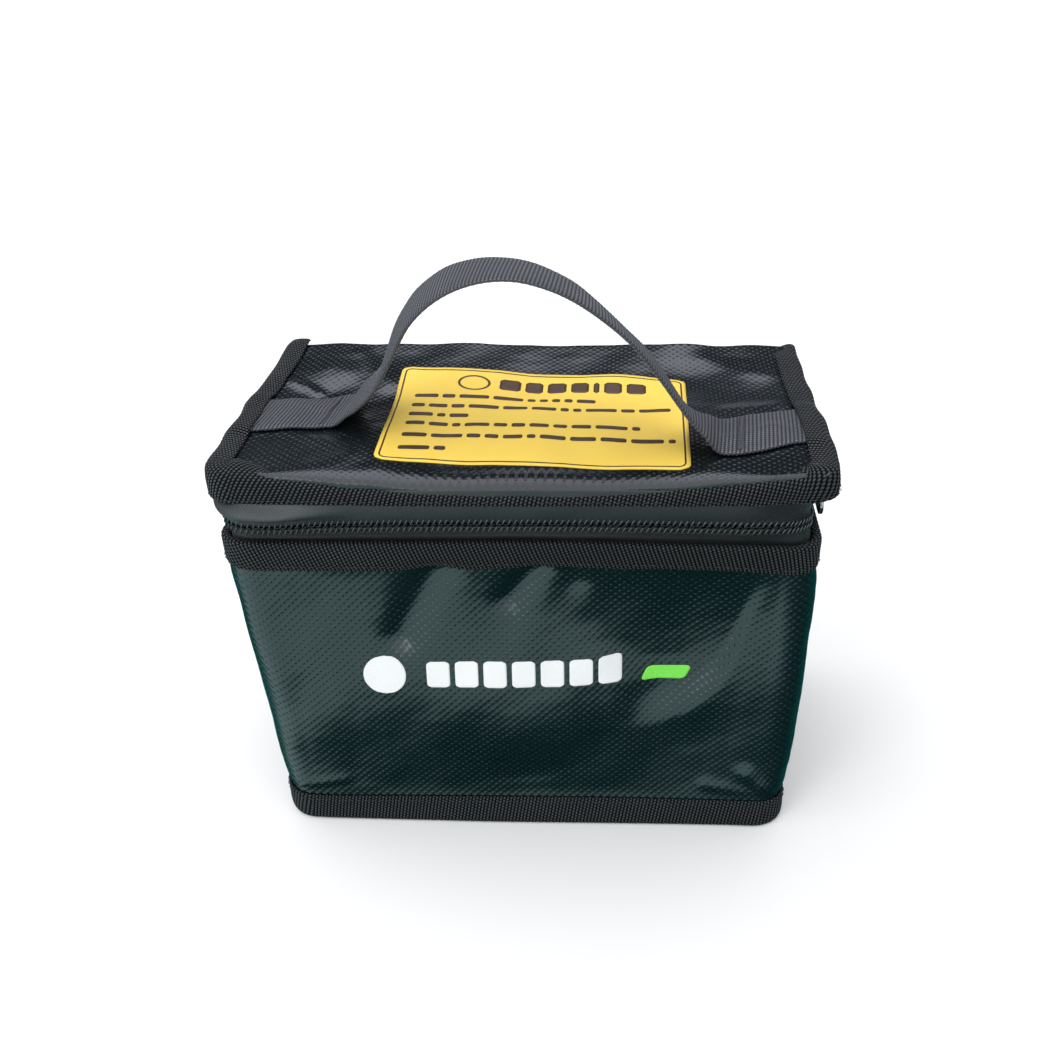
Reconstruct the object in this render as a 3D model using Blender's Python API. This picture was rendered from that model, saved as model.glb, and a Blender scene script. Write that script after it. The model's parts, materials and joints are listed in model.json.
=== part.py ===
"""Soft rectangular battery safe bag with a three-sided zip lid and a webbing handle.

Frame: origin at the middle of the footprint on the floor, +X to the right, -Y to the front, +Z up.
Lengths are in millimetres and are turned into metres where an object is made.
Every fabric piece is a thin sheet thickened with Solidify, so each one is a closed shell.
An "offset" is measured outwards from the body outline, to the middle of a sheet.
"""

import math

import bmesh
import bpy
from mathutils import Matrix, Vector

MM = 0.001

# Body and lid
HALF_W_TOP, HALF_W_FLOOR = 107.0, 102.5  # outer face of the side walls
HALF_D_TOP, HALF_D_FLOOR = 57.0, 56.5  # outer face of the front and back walls
CORNER_R = 12.0  # front corners of the body
LID_CORNER_R = 6.5  # front corners of the lid
BACK_CORNER_R = 0.8  # back corners of closed outlines, nearly square
MIN_CORNER_R = 0.8  # least radius left on an inset front corner
CORNER_STEPS, BACK_CORNER_STEPS = 5, 2
MOUTH_Z = 133.5  # top of the tape that binds the mouth
ZIP_Z = 140.5  # middle of the zip chain
LID_Z = 162.0  # top of the lid fabric

# Sheet thicknesses
SHELL_T = 1.2  # coated outer fabric
LINER_T = 0.6
TAPE_T = 0.7  # binding tape
ZIP_TAPE_T = 0.5
STRAP_T = 1.5
PRINT_T = 0.3

# Swing axes of the lid and the handle
HINGE_Y, HINGE_Z = HALF_D_TOP, LID_Z
HANDLE_Y, HANDLE_AXIS_Z = -16.0, 178.0

SHARP_ANGLE = 35  # degrees; steeper edges are shaded sharp


# ---------------------------------------------------------------- objects and materials
def material(name, colour, roughness, metallic=0.0):
    made = bpy.data.materials.new(name)
    made.use_nodes = True
    shader = made.node_tree.nodes["Principled BSDF"]
    shader.inputs["Base Color"].default_value = (*colour, 1.0)
    shader.inputs["Roughness"].default_value = roughness
    shader.inputs["Metallic"].default_value = metallic
    made.diffuse_color = (*colour, 1.0)
    return made


def add_axis(name, at, mount):
    """Adds an empty at a point of the bag's frame and returns the mount it makes."""
    mount_pivot, parent = mount
    axis = bpy.data.objects.new(name, None)
    axis.parent = parent
    axis.location = (Vector(at) - Vector(mount_pivot)) * MM
    bpy.context.scene.collection.objects.link(axis)
    return at, axis


def add_object(name, bm, mat, mount, smooth=True):
    """Links a bmesh built in the bag's frame. A mount is a pivot and the empty there, or None."""
    pivot, parent = mount
    bmesh.ops.recalc_face_normals(bm, faces=bm.faces)
    mesh = bpy.data.meshes.new(name)
    bm.to_mesh(mesh)
    bm.free()
    mesh.transform(Matrix.Scale(MM, 4) @ Matrix.Translation(-Vector(pivot)))
    mesh.materials.append(mat)
    if smooth:
        mesh.shade_smooth()
        mesh.set_sharp_from_angle(angle=math.radians(SHARP_ANGLE))
    made = bpy.data.objects.new(name, mesh)
    bpy.context.scene.collection.objects.link(made)
    if parent is not None:
        made.parent = parent
    else:
        made.location = Vector(pivot) * MM
    return made


for old in list(bpy.data.objects):
    bpy.data.objects.remove(old, do_unlink=True)

BODY = ((0, 0, 0), None)
LID = add_axis("lid_hinge_axis", (0, HINGE_Y, HINGE_Z), BODY)
GRIP = add_axis("handle_axis", (0, HANDLE_Y, HANDLE_AXIS_Z), LID)


def add_cloth(name, bm, mat, thickness, mount=BODY):
    """A sheet thickened equally to both sides."""
    mod = add_object(name, bm, mat, mount).modifiers.new("thickness", "SOLIDIFY")
    mod.thickness = thickness * MM
    mod.offset = 0.0
    mod.use_even_offset = True
    mod.use_quality_normals = True


def boolean(obj, other, operation):
    """Joins or cuts obj with other, which is kept as a hidden helper."""
    other.hide_render = True
    other.display_type = "WIRE"
    mod = obj.modifiers.new(operation.lower(), "BOOLEAN")
    mod.operation = operation
    mod.object = other
    mod.solver = "EXACT"


coated = material("coated_glass_cloth", colour=(0.015, 0.024, 0.024), roughness=0.32)
tape = material("binding_tape", colour=(0.030, 0.031, 0.034), roughness=0.75)
webbing = material("handle_webbing", colour=(0.070, 0.070, 0.078), roughness=0.6)
glass = material("glass_fibre_felt", colour=(0.72, 0.70, 0.62), roughness=0.9)
liner = material("liner_cloth", colour=(0.10, 0.105, 0.11), roughness=0.7)
zip_cloth = material("zip_tape", colour=(0.018, 0.024, 0.025), roughness=0.7)
coil = material("zip_coil", colour=(0.020, 0.024, 0.025), roughness=0.4)
metal = material("slider_metal", colour=(0.05, 0.05, 0.055), roughness=0.35, metallic=0.9)
thread = material("stitch_thread", colour=(0.02, 0.02, 0.022), roughness=0.7)
label_film = material("label_film", colour=(0.90, 0.62, 0.10), roughness=0.35)
label_ink = material("label_ink", colour=(0.045, 0.022, 0.010), roughness=0.4)
print_white = material("print_white", colour=(0.86, 0.87, 0.87), roughness=0.45)
print_green = material("print_green", colour=(0.20, 0.75, 0.08), roughness=0.45)


# ---------------------------------------------------------------- outlines
def half_w(z):
    return HALF_W_FLOOR + (HALF_W_TOP - HALF_W_FLOOR) * min(z / MOUTH_Z, 1)


def half_d(z):
    return HALF_D_FLOOR + (HALF_D_TOP - HALF_D_FLOOR) * min(z / MOUTH_Z, 1)


def arc(center_x, center_y, radius, start, end, steps):
    """Points on an arc, angles in degrees."""
    angles = [math.radians(start + (end - start) * i / steps) for i in range(steps + 1)]
    return [
        (center_x + radius * math.cos(angle), center_y + radius * math.sin(angle))
        for angle in angles
    ]


def front_corners(half_width, half_depth, radius):
    """The two rounded front corners, left to right."""
    radius = max(radius, MIN_CORNER_R)
    x, y = half_width - radius, half_depth - radius
    return arc(-x, -y, radius, 180, 270, CORNER_STEPS) + arc(
        x, -y, radius, 270, 360, CORNER_STEPS
    )


def open_outline(half_width, half_depth, radius, y_back, z):
    """From the back left, round the front, to the back right."""
    points = [(-half_width, y_back)]
    points += front_corners(half_width, half_depth, radius)
    points += [(half_width, y_back)]
    return [Vector((x, y, z)) for x, y in points]


def u_path(offset, z, y_back, radius=CORNER_R):
    """The open wall outline at height z. The offset is added to the radius too."""
    return open_outline(half_w(z) + offset, half_d(z) + offset, radius + offset, y_back, z)


def ring_path(offset, z):
    """The closed wall outline at height z."""
    half_width, half_depth = half_w(z) + offset, half_d(z) + offset
    x, y = half_width - BACK_CORNER_R, half_depth - BACK_CORNER_R
    points = front_corners(half_width, half_depth, CORNER_R + offset)
    points += arc(x, y, BACK_CORNER_R, 0, 90, BACK_CORNER_STEPS)
    points += arc(-x, y, BACK_CORNER_R, 90, 180, BACK_CORNER_STEPS)
    return [Vector((x, y, z)) for x, y in points]


# ---------------------------------------------------------------- bmesh shapes
def sheet(rows, closed=False, floor=False):
    """One strip of faces between each row of points and the next."""
    bm = bmesh.new()
    loops = [[bm.verts.new(point) for point in row] for row in rows]
    for low, high in zip(loops, loops[1:]):
        count = len(low)
        for i in range(count if closed else count - 1):
            j = (i + 1) % count
            bm.faces.new((low[i], low[j], high[j], high[i]))
    if floor:
        bm.faces.new(loops[0])
    return bm


def flat_sheet(points):
    bm = bmesh.new()
    bm.faces.new([bm.verts.new(point) for point in points])
    return bm


def plate(points, thickness):
    """A flat outline extruded along the vector thickness."""
    bm = flat_sheet(points)
    grown = bmesh.ops.extrude_face_region(bm, geom=list(bm.faces))
    moved = [part for part in grown["geom"] if isinstance(part, bmesh.types.BMVert)]
    bmesh.ops.translate(bm, vec=thickness, verts=moved)
    return bm


def side_plate(outline, x_low, x_high):
    """A plate with an outline in the Y-Z plane."""
    return plate([(x_low, y, z) for y, z in outline], (x_high - x_low, 0, 0))


def box(low, high):
    bm = bmesh.new()
    bmesh.ops.create_cube(bm, size=1.0)
    low, high = Vector(low), Vector(high)
    bmesh.ops.scale(bm, vec=high - low, verts=bm.verts)
    bmesh.ops.translate(bm, vec=(high + low) / 2, verts=bm.verts)
    return bm


# ---------------------------------------------------------------- outer shell
WALL_FOOT_Z = 2.6
WALL_TOP_GAP = 1.2  # from the wall's top edge to the top of its binding
WALL_BACK_GAP = 1.7  # from the side walls' back edge to the back face
BACK_TOP_GAP = 0.6  # from the back panel to the underside of the lid fabric
FLOOR_EDGE_Z = 1.65  # the floor's edge lies on the seam tape, its middle sags to the ground
FLOOR_EDGE_OFFSET, SAG_TOP_OFFSET, SAG_FOOT_OFFSET = -0.4, -9.6, -12.0

# One strip of coated fabric makes the left wall, the front and the right wall.
rows = [
    u_path(-SHELL_T / 2, z, half_d(z) - WALL_BACK_GAP)
    for z in (WALL_FOOT_Z, MOUTH_Z - WALL_TOP_GAP)
]
add_cloth("front_and_side_wall", sheet(rows), coated, SHELL_T)

rows = [
    [Vector((side * half_w(z), half_d(z) - SHELL_T / 2, z)) for side in (-1, 1)]
    for z in (WALL_FOOT_Z, MOUTH_Z, LID_Z - SHELL_T - BACK_TOP_GAP)
]
add_cloth("back_panel", sheet(rows), coated, SHELL_T)

rows = [
    ring_path(SAG_FOOT_OFFSET, SHELL_T / 2),
    ring_path(SAG_TOP_OFFSET, FLOOR_EDGE_Z),
    ring_path(FLOOR_EDGE_OFFSET, FLOOR_EDGE_Z),
]
add_cloth("bottom_panel", sheet(rows, closed=True, floor=True), coated, SHELL_T)

# ---------------------------------------------------------------- front print
PRINT_Z, PRINT_OFFSET = 76.5, 0.45
PRINT_END_TRIM = 0.01  # keeps the end radius just under half the height
PRINT_END_STEPS = 10

PRINTS = (  # name, left x, right x, height, material
    ("disc", -61.0, -44.5, 16.45, print_white),
    ("bar", -36.5, 39.5, 11.0, print_white),
    ("accent", 45.0, 64.0, 5.0, print_green),
)
for name, left, right, height, ink in PRINTS:
    radius = height / 2 - PRINT_END_TRIM
    outline = arc(right - radius, 0, radius, -90, 90, PRINT_END_STEPS)
    outline += arc(left + radius, 0, radius, 90, 270, PRINT_END_STEPS)
    points = [
        Vector((x, -half_d(PRINT_Z + z) - PRINT_OFFSET, PRINT_Z + z)) for x, z in outline
    ]
    add_cloth(f"front_print_{name}", flat_sheet(points), ink, PRINT_T)

# ---------------------------------------------------------------- body binding tape
TAPE_OFFSET = 0.65
BOTTOM_TAPE_TOP_Z, BOTTOM_TAPE_INNER_OFFSET = 11.5, -8.5
MOUTH_TAPE_OUTER_H, MOUTH_TAPE_INNER_H = 12.0, 11.0  # legs, down from MOUTH_Z
MOUTH_TAPE_INNER_OFFSET = -1.85
MOUTH_TAPE_END_Y = HALF_D_TOP - 10.0
SEAM_TAPE_FOOT_Z, SEAM_TAPE_TOP_Z = 12.4, 149.0
SEAM_TAPE_LEG = 9.0

# Tape folded round the bottom seam: one leg up the wall, one leg under the floor.
rows = [
    ring_path(TAPE_OFFSET, BOTTOM_TAPE_TOP_Z),
    ring_path(TAPE_OFFSET, TAPE_T / 2),
    ring_path(BOTTOM_TAPE_INNER_OFFSET, TAPE_T / 2),
]
add_cloth("bottom_binding", sheet(rows, closed=True), tape, TAPE_T)

# Tape folded over the top edge of the front and side wall.
rows = [
    u_path(offset, MOUTH_Z - drop, MOUTH_TAPE_END_Y)
    for offset, drop in (
        (TAPE_OFFSET, MOUTH_TAPE_OUTER_H),
        (TAPE_OFFSET, TAPE_T / 2),
        (MOUTH_TAPE_INNER_OFFSET, TAPE_T / 2),
        (MOUTH_TAPE_INNER_OFFSET, MOUTH_TAPE_INNER_H),
    )
]
add_cloth("mouth_binding", sheet(rows), tape, TAPE_T)

# Tape over the two upright seams at the back corners.
for side, sign in (("left", -1), ("right", 1)):
    rows = [
        [
            Vector((sign * (half_w(z) + TAPE_OFFSET), half_d(z) - SEAM_TAPE_LEG, z)),
            Vector((sign * (half_w(z) + TAPE_OFFSET), half_d(z) + TAPE_OFFSET, z)),
            Vector((sign * (half_w(z) - SEAM_TAPE_LEG), half_d(z) + TAPE_OFFSET, z)),
        ]
        for z in (SEAM_TAPE_FOOT_Z, MOUTH_Z, SEAM_TAPE_TOP_Z)
    ]
    add_cloth(f"back_{side}_seam_binding", sheet(rows), tape, TAPE_T)

# ---------------------------------------------------------------- insulation and liner
WALL_FELT_OFFSET, WALL_FELT_T = -4.4, 2.0
WALL_FELT_Z = (3.1, MOUTH_Z - 2.0)
FLOOR_FELT_OFFSET, FLOOR_FELT_Z, FLOOR_FELT_T = -5.8, 3.5, 1.6
LINER_OFFSET = -6.2
LINER_Z = (5.0, MOUTH_Z - 1.6)

rows = [ring_path(WALL_FELT_OFFSET, z) for z in WALL_FELT_Z]
add_cloth("wall_insulation", sheet(rows, closed=True), glass, WALL_FELT_T)
floor_felt = flat_sheet(ring_path(FLOOR_FELT_OFFSET, FLOOR_FELT_Z))
add_cloth("floor_insulation", floor_felt, glass, FLOOR_FELT_T)
rows = [ring_path(LINER_OFFSET, z) for z in LINER_Z]
add_cloth("inner_liner", sheet(rows, closed=True, floor=True), liner, LINER_T)

# ---------------------------------------------------------------- zip tapes and coils
ZIP_TAPE_OFFSET = -2.85
ZIP_TAPE_GAP = 0.9  # from the middle of the chain to each tape's edge
ZIP_END_Y = 49.5
COIL_OFFSET, COIL_T, COIL_H = -1.3, 2.0, 2.75
COIL_GAP = 0.45  # from the middle of the chain to each coil
COIL_END_Y = ZIP_END_Y - 0.5
PATCH_Y, PATCH_Z = (42.5, 46.0), (MOUTH_Z + 0.5, ZIP_Z - 0.5)
PATCH_OFFSET, PATCH_T = 0.4, 0.7

rows = [u_path(ZIP_TAPE_OFFSET, z, ZIP_END_Y) for z in (MOUTH_Z - 10.5, ZIP_Z - ZIP_TAPE_GAP)]
add_cloth("lower_zip_tape", sheet(rows), zip_cloth, ZIP_TAPE_T)

# The upper tape leans out from the chain to the edge of the lid.
rows = [
    u_path(ZIP_TAPE_OFFSET, ZIP_Z + ZIP_TAPE_GAP, ZIP_END_Y),
    u_path(ZIP_TAPE_OFFSET, ZIP_Z + 5.0, ZIP_END_Y),
    u_path(0.0, LID_Z - 10.0, ZIP_END_Y, radius=9.0),
    u_path(0.85, LID_Z - SHELL_T - 0.5, ZIP_END_Y, radius=LID_CORNER_R + 1),
]
add_cloth("upper_zip_tape", sheet(rows), zip_cloth, ZIP_TAPE_T, LID)

for name, low, mount in (
    ("lower_zip_coil", ZIP_Z - COIL_GAP - COIL_H, BODY),
    ("upper_zip_coil", ZIP_Z + COIL_GAP, LID),
):
    rows = [u_path(COIL_OFFSET, z, COIL_END_Y) for z in (low, low + COIL_H)]
    add_cloth(name, sheet(rows), coil, COIL_T, mount)

# A small patch near each end of the chain.
for side, sign in (("left", -1), ("right", 1)):
    rows = [[Vector((sign * (HALF_W_TOP + PATCH_OFFSET), y, z)) for y in PATCH_Y] for z in PATCH_Z]
    add_cloth(f"{side}_zip_end_patch", sheet(rows), zip_cloth, PATCH_T)

# ---------------------------------------------------------------- zip sliders and pulls
# Both sliders are on the right side. Their X spans are measured out from the side wall.
REAR_SLIDER_Y, FRONT_SLIDER_Y = 6.0, -13.0
SLIDER_L = 15.0
SHOULDER, TAIL = 5.6, 4.3  # half widths of a slider plate
INNER_PLATE_SCALE = 0.96  # of both half widths
OUTER_PLATE_X, INNER_PLATE_X = (0.0, 0.9), (-4.4, -3.5)
WEB_X, WEB_HALF_L, WEB_HALF_H = (-3.9, 0.4), 4.6, 0.22
BAIL_W = 2.4
BAIL_OUTLINE = (  # y from the slider's middle, x from the side wall
    (-6.0, 0.4), (-6.0, 2.4), (-4.4, 4.1), (4.4, 4.1), (6.0, 2.4), (6.0, 0.4),
    (4.6, 0.4), (4.6, 2.0), (3.6, 2.9), (-3.6, 2.9), (-4.6, 2.0), (-4.6, 0.4),
)
PULL_T = 1.2
PULL_X = 1.85  # middle of the pull
PULL_EDGE = ((-0.6, 2.9), (9.5, 3.3), (12.0, 3.9), (22.0, 4.3))  # y along, half width
PULL_TIP_Y, PULL_TIP_R = PULL_EDGE[-1]
PULL_HOLES = (("eye", 0.65, 9.3, 1.75), ("slot", 13.5, 23.0, 1.3))  # name, y span, half width
CUTTER_X = (-1, 5)


def slider_outline(slider_y, toward, scale=1.0):
    """Wide shoulders at the leading end, narrower tail. toward is the leading end's Y sign."""
    half = SLIDER_L / 2
    shoulder, tail = SHOULDER * scale, TAIL * scale
    shape = [
        (-half, 0.62 * tail),
        (-half + 2.0, tail),
        (0.5, tail + 0.2),
        (half - 3.2, shoulder),
        (half - 1.0, shoulder * 0.86),
        (half, shoulder * 0.45),
    ]
    shape += [(y, -z) for y, z in reversed(shape)]
    return [(slider_y + toward * y, ZIP_Z + z) for y, z in shape]


def from_wall(span):
    return [HALF_W_TOP + x for x in span]


def chain_box(x_span, y_span, half_height):
    """A box level with the middle of the chain."""
    x_low, x_high = from_wall(x_span)
    y_low, y_high = sorted(y_span)
    return box((x_low, y_low, ZIP_Z - half_height), (x_high, y_high, ZIP_Z + half_height))


def zip_slider(name, slider_y, toward):
    """Two plates joined by a thin web between the coils, with an arched bail on the outside."""
    mount = ((HALF_W_TOP, slider_y, ZIP_Z), None)
    shape = side_plate(slider_outline(slider_y, toward), *from_wall(OUTER_PLATE_X))
    outer = add_object(name, shape, metal, mount)

    outline = slider_outline(slider_y, toward, INNER_PLATE_SCALE)
    shape = side_plate(outline, *from_wall(INNER_PLATE_X))
    inner = add_object(f"{name}_inner_plate", shape, metal, mount)

    shape = chain_box(WEB_X, (slider_y - WEB_HALF_L, slider_y + WEB_HALF_L), WEB_HALF_H)
    web = add_object(f"{name}_web", shape, metal, mount, smooth=False)

    ring = [(HALF_W_TOP + x, slider_y + y, ZIP_Z - BAIL_W / 2) for y, x in BAIL_OUTLINE]
    bail = add_object(f"{name}_bail", plate(ring, (0, 0, BAIL_W)), metal, mount)

    for part in (web, inner, bail):
        boolean(outer, part, "UNION")


def zip_pull(name, slider_y, toward):
    """A flat pull that runs in Y towards its tip. Its end bar sits under the bail: the pivot."""
    pull_x = HALF_W_TOP + PULL_X
    mount = ((pull_x, slider_y, ZIP_Z), None)
    outline = [(y, -z) for y, z in PULL_EDGE]
    outline += arc(PULL_TIP_Y, 0.0, PULL_TIP_R, -60, 60, 4)
    outline += reversed(PULL_EDGE)
    outline = [(slider_y + toward * y, ZIP_Z + z) for y, z in outline]
    shape = side_plate(outline, pull_x - PULL_T / 2, pull_x + PULL_T / 2)
    pull = add_object(name, shape, metal, mount)
    for hole, start, end, half_width in PULL_HOLES:
        y_span = (slider_y + toward * start, slider_y + toward * end)
        shape = chain_box(CUTTER_X, y_span, half_width)
        cutter = add_object(f"{name}_{hole}", shape, metal, mount, smooth=False)
        boolean(pull, cutter, "DIFFERENCE")


# The leading ends face each other and each pull points away from them.
for place, slider_y, toward in (("rear", REAR_SLIDER_Y, -1), ("front", FRONT_SLIDER_Y, 1)):
    zip_slider(f"{place}_zip_slider", slider_y, toward)
    zip_pull(f"{place}_zip_pull", slider_y, -toward)

# ---------------------------------------------------------------- lid
LID_OFFSET, LID_BACK_GAP = 0.5, 0.7
LID_TAPE_T = 0.8
LID_TAPE_ROWS = (  # side offset, front offset, z from LID_Z
    (1.95, 1.95, -10.8),
    (1.95, 1.95, 0.8),
    (-7.5, -3.0, 0.8),
)
LINING_OFFSET, LINING_BACK_GAP = -4.0, 5.0
LID_LININGS = (  # name, depth under LID_Z, material, thickness
    ("lid_insulation", 2.6, glass, 1.8),
    ("lid_liner", 4.2, liner, LINER_T),
)

outline = u_path(LID_OFFSET, LID_Z - SHELL_T / 2, HINGE_Y - LID_BACK_GAP, radius=LID_CORNER_R)
add_cloth("lid_panel", flat_sheet(outline), coated, SHELL_T, LID)

# Tape folded over the lid's edge, with a wider top leg on the sides than on the front.
rows = [
    open_outline(
        HALF_W_TOP + side,
        HALF_D_TOP + front,
        LID_CORNER_R + min(side, front),
        HINGE_Y,
        LID_Z + rise,
    )
    for side, front, rise in LID_TAPE_ROWS
]
add_cloth("lid_binding", sheet(rows), tape, LID_TAPE_T, LID)

for name, depth, cloth, thickness in LID_LININGS:
    outline = u_path(LINING_OFFSET, LID_Z - depth, HINGE_Y - LINING_BACK_GAP, radius=LID_CORNER_R)
    add_cloth(name, flat_sheet(outline), cloth, thickness, LID)

# ---------------------------------------------------------------- lid label
LABEL_X, LABEL_Y, LABEL_R = (-54.5, 62.0), (-43.0, 33.0), 3.5
LABEL_Z = LID_Z + 0.45
KEYLINE_Z, KEYLINE_T = LID_Z + 0.95, 0.1
KEYLINE_INSETS = (1.6, 2.4)  # outer and inner edge of the printed line


def label_outline(inset, z):
    left, right = LABEL_X[0] + LABEL_R, LABEL_X[1] - LABEL_R
    front, back = LABEL_Y[0] + LABEL_R, LABEL_Y[1] - LABEL_R
    corners = ((right, back, 0), (left, back, 90), (left, front, 180), (right, front, 270))
    return [
        Vector((x, y, z))
        for center_x, center_y, start in corners
        for x, y in arc(center_x, center_y, LABEL_R - inset, start, start + 90, 4)
    ]


add_cloth("lid_label", flat_sheet(label_outline(0, LABEL_Z)), label_film, PRINT_T, LID)
rows = [label_outline(inset, KEYLINE_Z) for inset in KEYLINE_INSETS]
add_cloth("label_keyline", sheet(rows, closed=True), label_ink, KEYLINE_T, LID)

# ---------------------------------------------------------------- handle
# The strap is one length of webbing. Its two sewn ends stay with the lid and its grip swings,
# so it is cut at the height of the swing axis.
STRAP_W = 30.0
HANDLE_TURN = -6.0  # the strap is sewn on a little askew: degrees about Z
STRAP_Z = LID_Z + 0.4 + STRAP_T / 2  # middle of the sewn ends
STRAP_END_X = HALF_W_TOP - 9.6
LEFT_LIFT_X, RIGHT_LIFT_X = -78.0, 80.0  # where the strap leaves the lid
LEFT_UPRIGHT_X, RIGHT_UPRIGHT_X = -58.0, 56.0  # where it stands upright at the swing axis
BEND_STEPS = 8
CUT_OVERLAP = 0.8  # each part runs this far past the swing axis
GRIP_INSET = STRAP_T + 0.4  # the grip's feet stand inside the sewn ends
GRIP_STEPS = 3  # per span of the curve
TACK_W, TACK_L, TACK_T = 1.4, 25.0, 0.4
TACK_SHIFT = 2.0  # outwards from where the strap leaves the lid
TACK_Z = STRAP_Z + STRAP_T / 2 + 0.5

LEFT_GRIP_X, RIGHT_GRIP_X = LEFT_UPRIGHT_X + GRIP_INSET, RIGHT_UPRIGHT_X - GRIP_INSET
GRIP_KNOTS = (  # x, z along the middle of the grip, left to right
    (LEFT_GRIP_X, HANDLE_AXIS_Z - CUT_OVERLAP),
    (LEFT_GRIP_X + 0.6, 182.0),
    (-51.5, 193.0), (-45.5, 203.5), (-34.0, 212.5), (-18.0, 218.2),
    (-2.0, 218.2), (14.0, 212.5), (28.0, 202.0), (40.0, 191.5),
    (RIGHT_GRIP_X - 3.0, 182.0),
    (RIGHT_GRIP_X, HANDLE_AXIS_Z - CUT_OVERLAP),
)

SKEW = Matrix.Translation((0, HANDLE_Y, 0)) @ Matrix.Rotation(math.radians(HANDLE_TURN), 4, "Z")


def strap(center_line):
    """Webbing along a line of (x, z) points, turned askew."""
    edges = (-STRAP_W / 2, STRAP_W / 2)
    return sheet([[SKEW @ Vector((x, y, z)) for x, z in center_line] for y in edges])


def spline(points, steps):
    """Catmull-Rom curve through points."""
    padded = [points[0], *points, points[-1]]
    made = []
    for span in zip(padded, padded[1:], padded[2:], padded[3:]):
        for i in range(steps):
            t = i / steps
            made.append(
                tuple(
                    0.5
                    * (
                        2 * start
                        + (end - before) * t
                        + (2 * before - 5 * start + 4 * end - after) * t * t
                        + (3 * start - before - 3 * end + after) * t**3
                    )
                    for before, start, end, after in zip(*span)
                )
            )
    return made + [points[-1]]


def handle_end(side, sign, lift_x, upright_x):
    """A sewn end that bends up from the lid in a quarter ellipse, and its bar tack."""
    run, rise = upright_x - lift_x, HANDLE_AXIS_Z - STRAP_Z
    line = [(sign * STRAP_END_X, STRAP_Z)]
    for i in range(BEND_STEPS + 1):
        turn = math.radians(90 * i / BEND_STEPS)
        line.append((lift_x + run * math.sin(turn), STRAP_Z + rise * (1 - math.cos(turn))))
    line.append((upright_x, HANDLE_AXIS_Z + CUT_OVERLAP))
    add_cloth(f"handle_{side}_end", strap(line), webbing, STRAP_T, LID)

    tack_x = lift_x + sign * TACK_SHIFT
    tack = [
        SKEW @ Vector((tack_x + x * TACK_W / 2, y * TACK_L / 2, TACK_Z))
        for x, y in ((-1, -1), (1, -1), (1, 1), (-1, 1))
    ]
    add_cloth(f"{side}_bar_tack", flat_sheet(tack), thread, TACK_T, LID)


handle_end("left", -1, LEFT_LIFT_X, LEFT_UPRIGHT_X)
handle_end("right", 1, RIGHT_LIFT_X, RIGHT_UPRIGHT_X)
add_cloth("handle_grip", strap(spline(GRIP_KNOTS, GRIP_STEPS)), webbing, STRAP_T, GRIP)
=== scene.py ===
"""Looks of a soft battery safe bag: a cloth box with a zipped lid, bound edges and a strap handle.

Lengths are millimetres in the frame of the part (origin at the middle of the footprint, +X right,
-Y front, +Z up) and are turned into metres where a mesh is made. Every soft piece is a curved
sheet or a swept band of its own; only the zip sliders and their pulls keep the frame's meshes.
"""

import json
import math

import bmesh
import bpy
import numpy as np
from mathutils import Matrix, Vector


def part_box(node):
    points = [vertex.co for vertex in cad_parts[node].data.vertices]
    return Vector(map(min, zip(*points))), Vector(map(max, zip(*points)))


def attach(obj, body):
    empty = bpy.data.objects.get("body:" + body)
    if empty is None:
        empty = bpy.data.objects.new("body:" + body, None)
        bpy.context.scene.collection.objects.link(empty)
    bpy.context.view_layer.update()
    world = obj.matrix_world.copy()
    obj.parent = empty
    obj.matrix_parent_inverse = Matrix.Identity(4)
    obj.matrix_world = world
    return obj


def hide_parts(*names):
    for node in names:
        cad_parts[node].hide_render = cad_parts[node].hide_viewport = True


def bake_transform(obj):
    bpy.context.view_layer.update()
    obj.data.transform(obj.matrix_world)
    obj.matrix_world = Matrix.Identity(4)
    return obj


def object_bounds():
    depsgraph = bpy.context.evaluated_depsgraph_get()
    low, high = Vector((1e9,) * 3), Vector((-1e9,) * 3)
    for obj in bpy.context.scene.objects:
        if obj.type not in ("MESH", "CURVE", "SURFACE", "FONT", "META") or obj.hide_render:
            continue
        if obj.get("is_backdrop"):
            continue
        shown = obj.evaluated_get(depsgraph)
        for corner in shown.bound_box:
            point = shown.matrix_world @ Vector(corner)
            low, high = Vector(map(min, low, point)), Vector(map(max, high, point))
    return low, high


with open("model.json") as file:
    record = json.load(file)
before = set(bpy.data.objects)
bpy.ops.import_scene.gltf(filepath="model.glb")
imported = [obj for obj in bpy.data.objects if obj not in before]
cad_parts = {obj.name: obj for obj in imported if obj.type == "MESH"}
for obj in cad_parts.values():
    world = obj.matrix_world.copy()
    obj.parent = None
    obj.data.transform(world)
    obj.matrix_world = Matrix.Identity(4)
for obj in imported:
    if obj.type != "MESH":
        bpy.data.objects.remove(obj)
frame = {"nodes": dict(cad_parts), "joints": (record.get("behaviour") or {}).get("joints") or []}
cad_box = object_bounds()

MM = 0.001
TAU = 2 * math.pi
SCENE = bpy.context.scene


# ------------------------------------------------------------------ sizes
def high_corner(node):
    """The highest x, y and z of a piece of the frame."""
    _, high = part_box(node)
    return np.array(high) / MM


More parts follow.
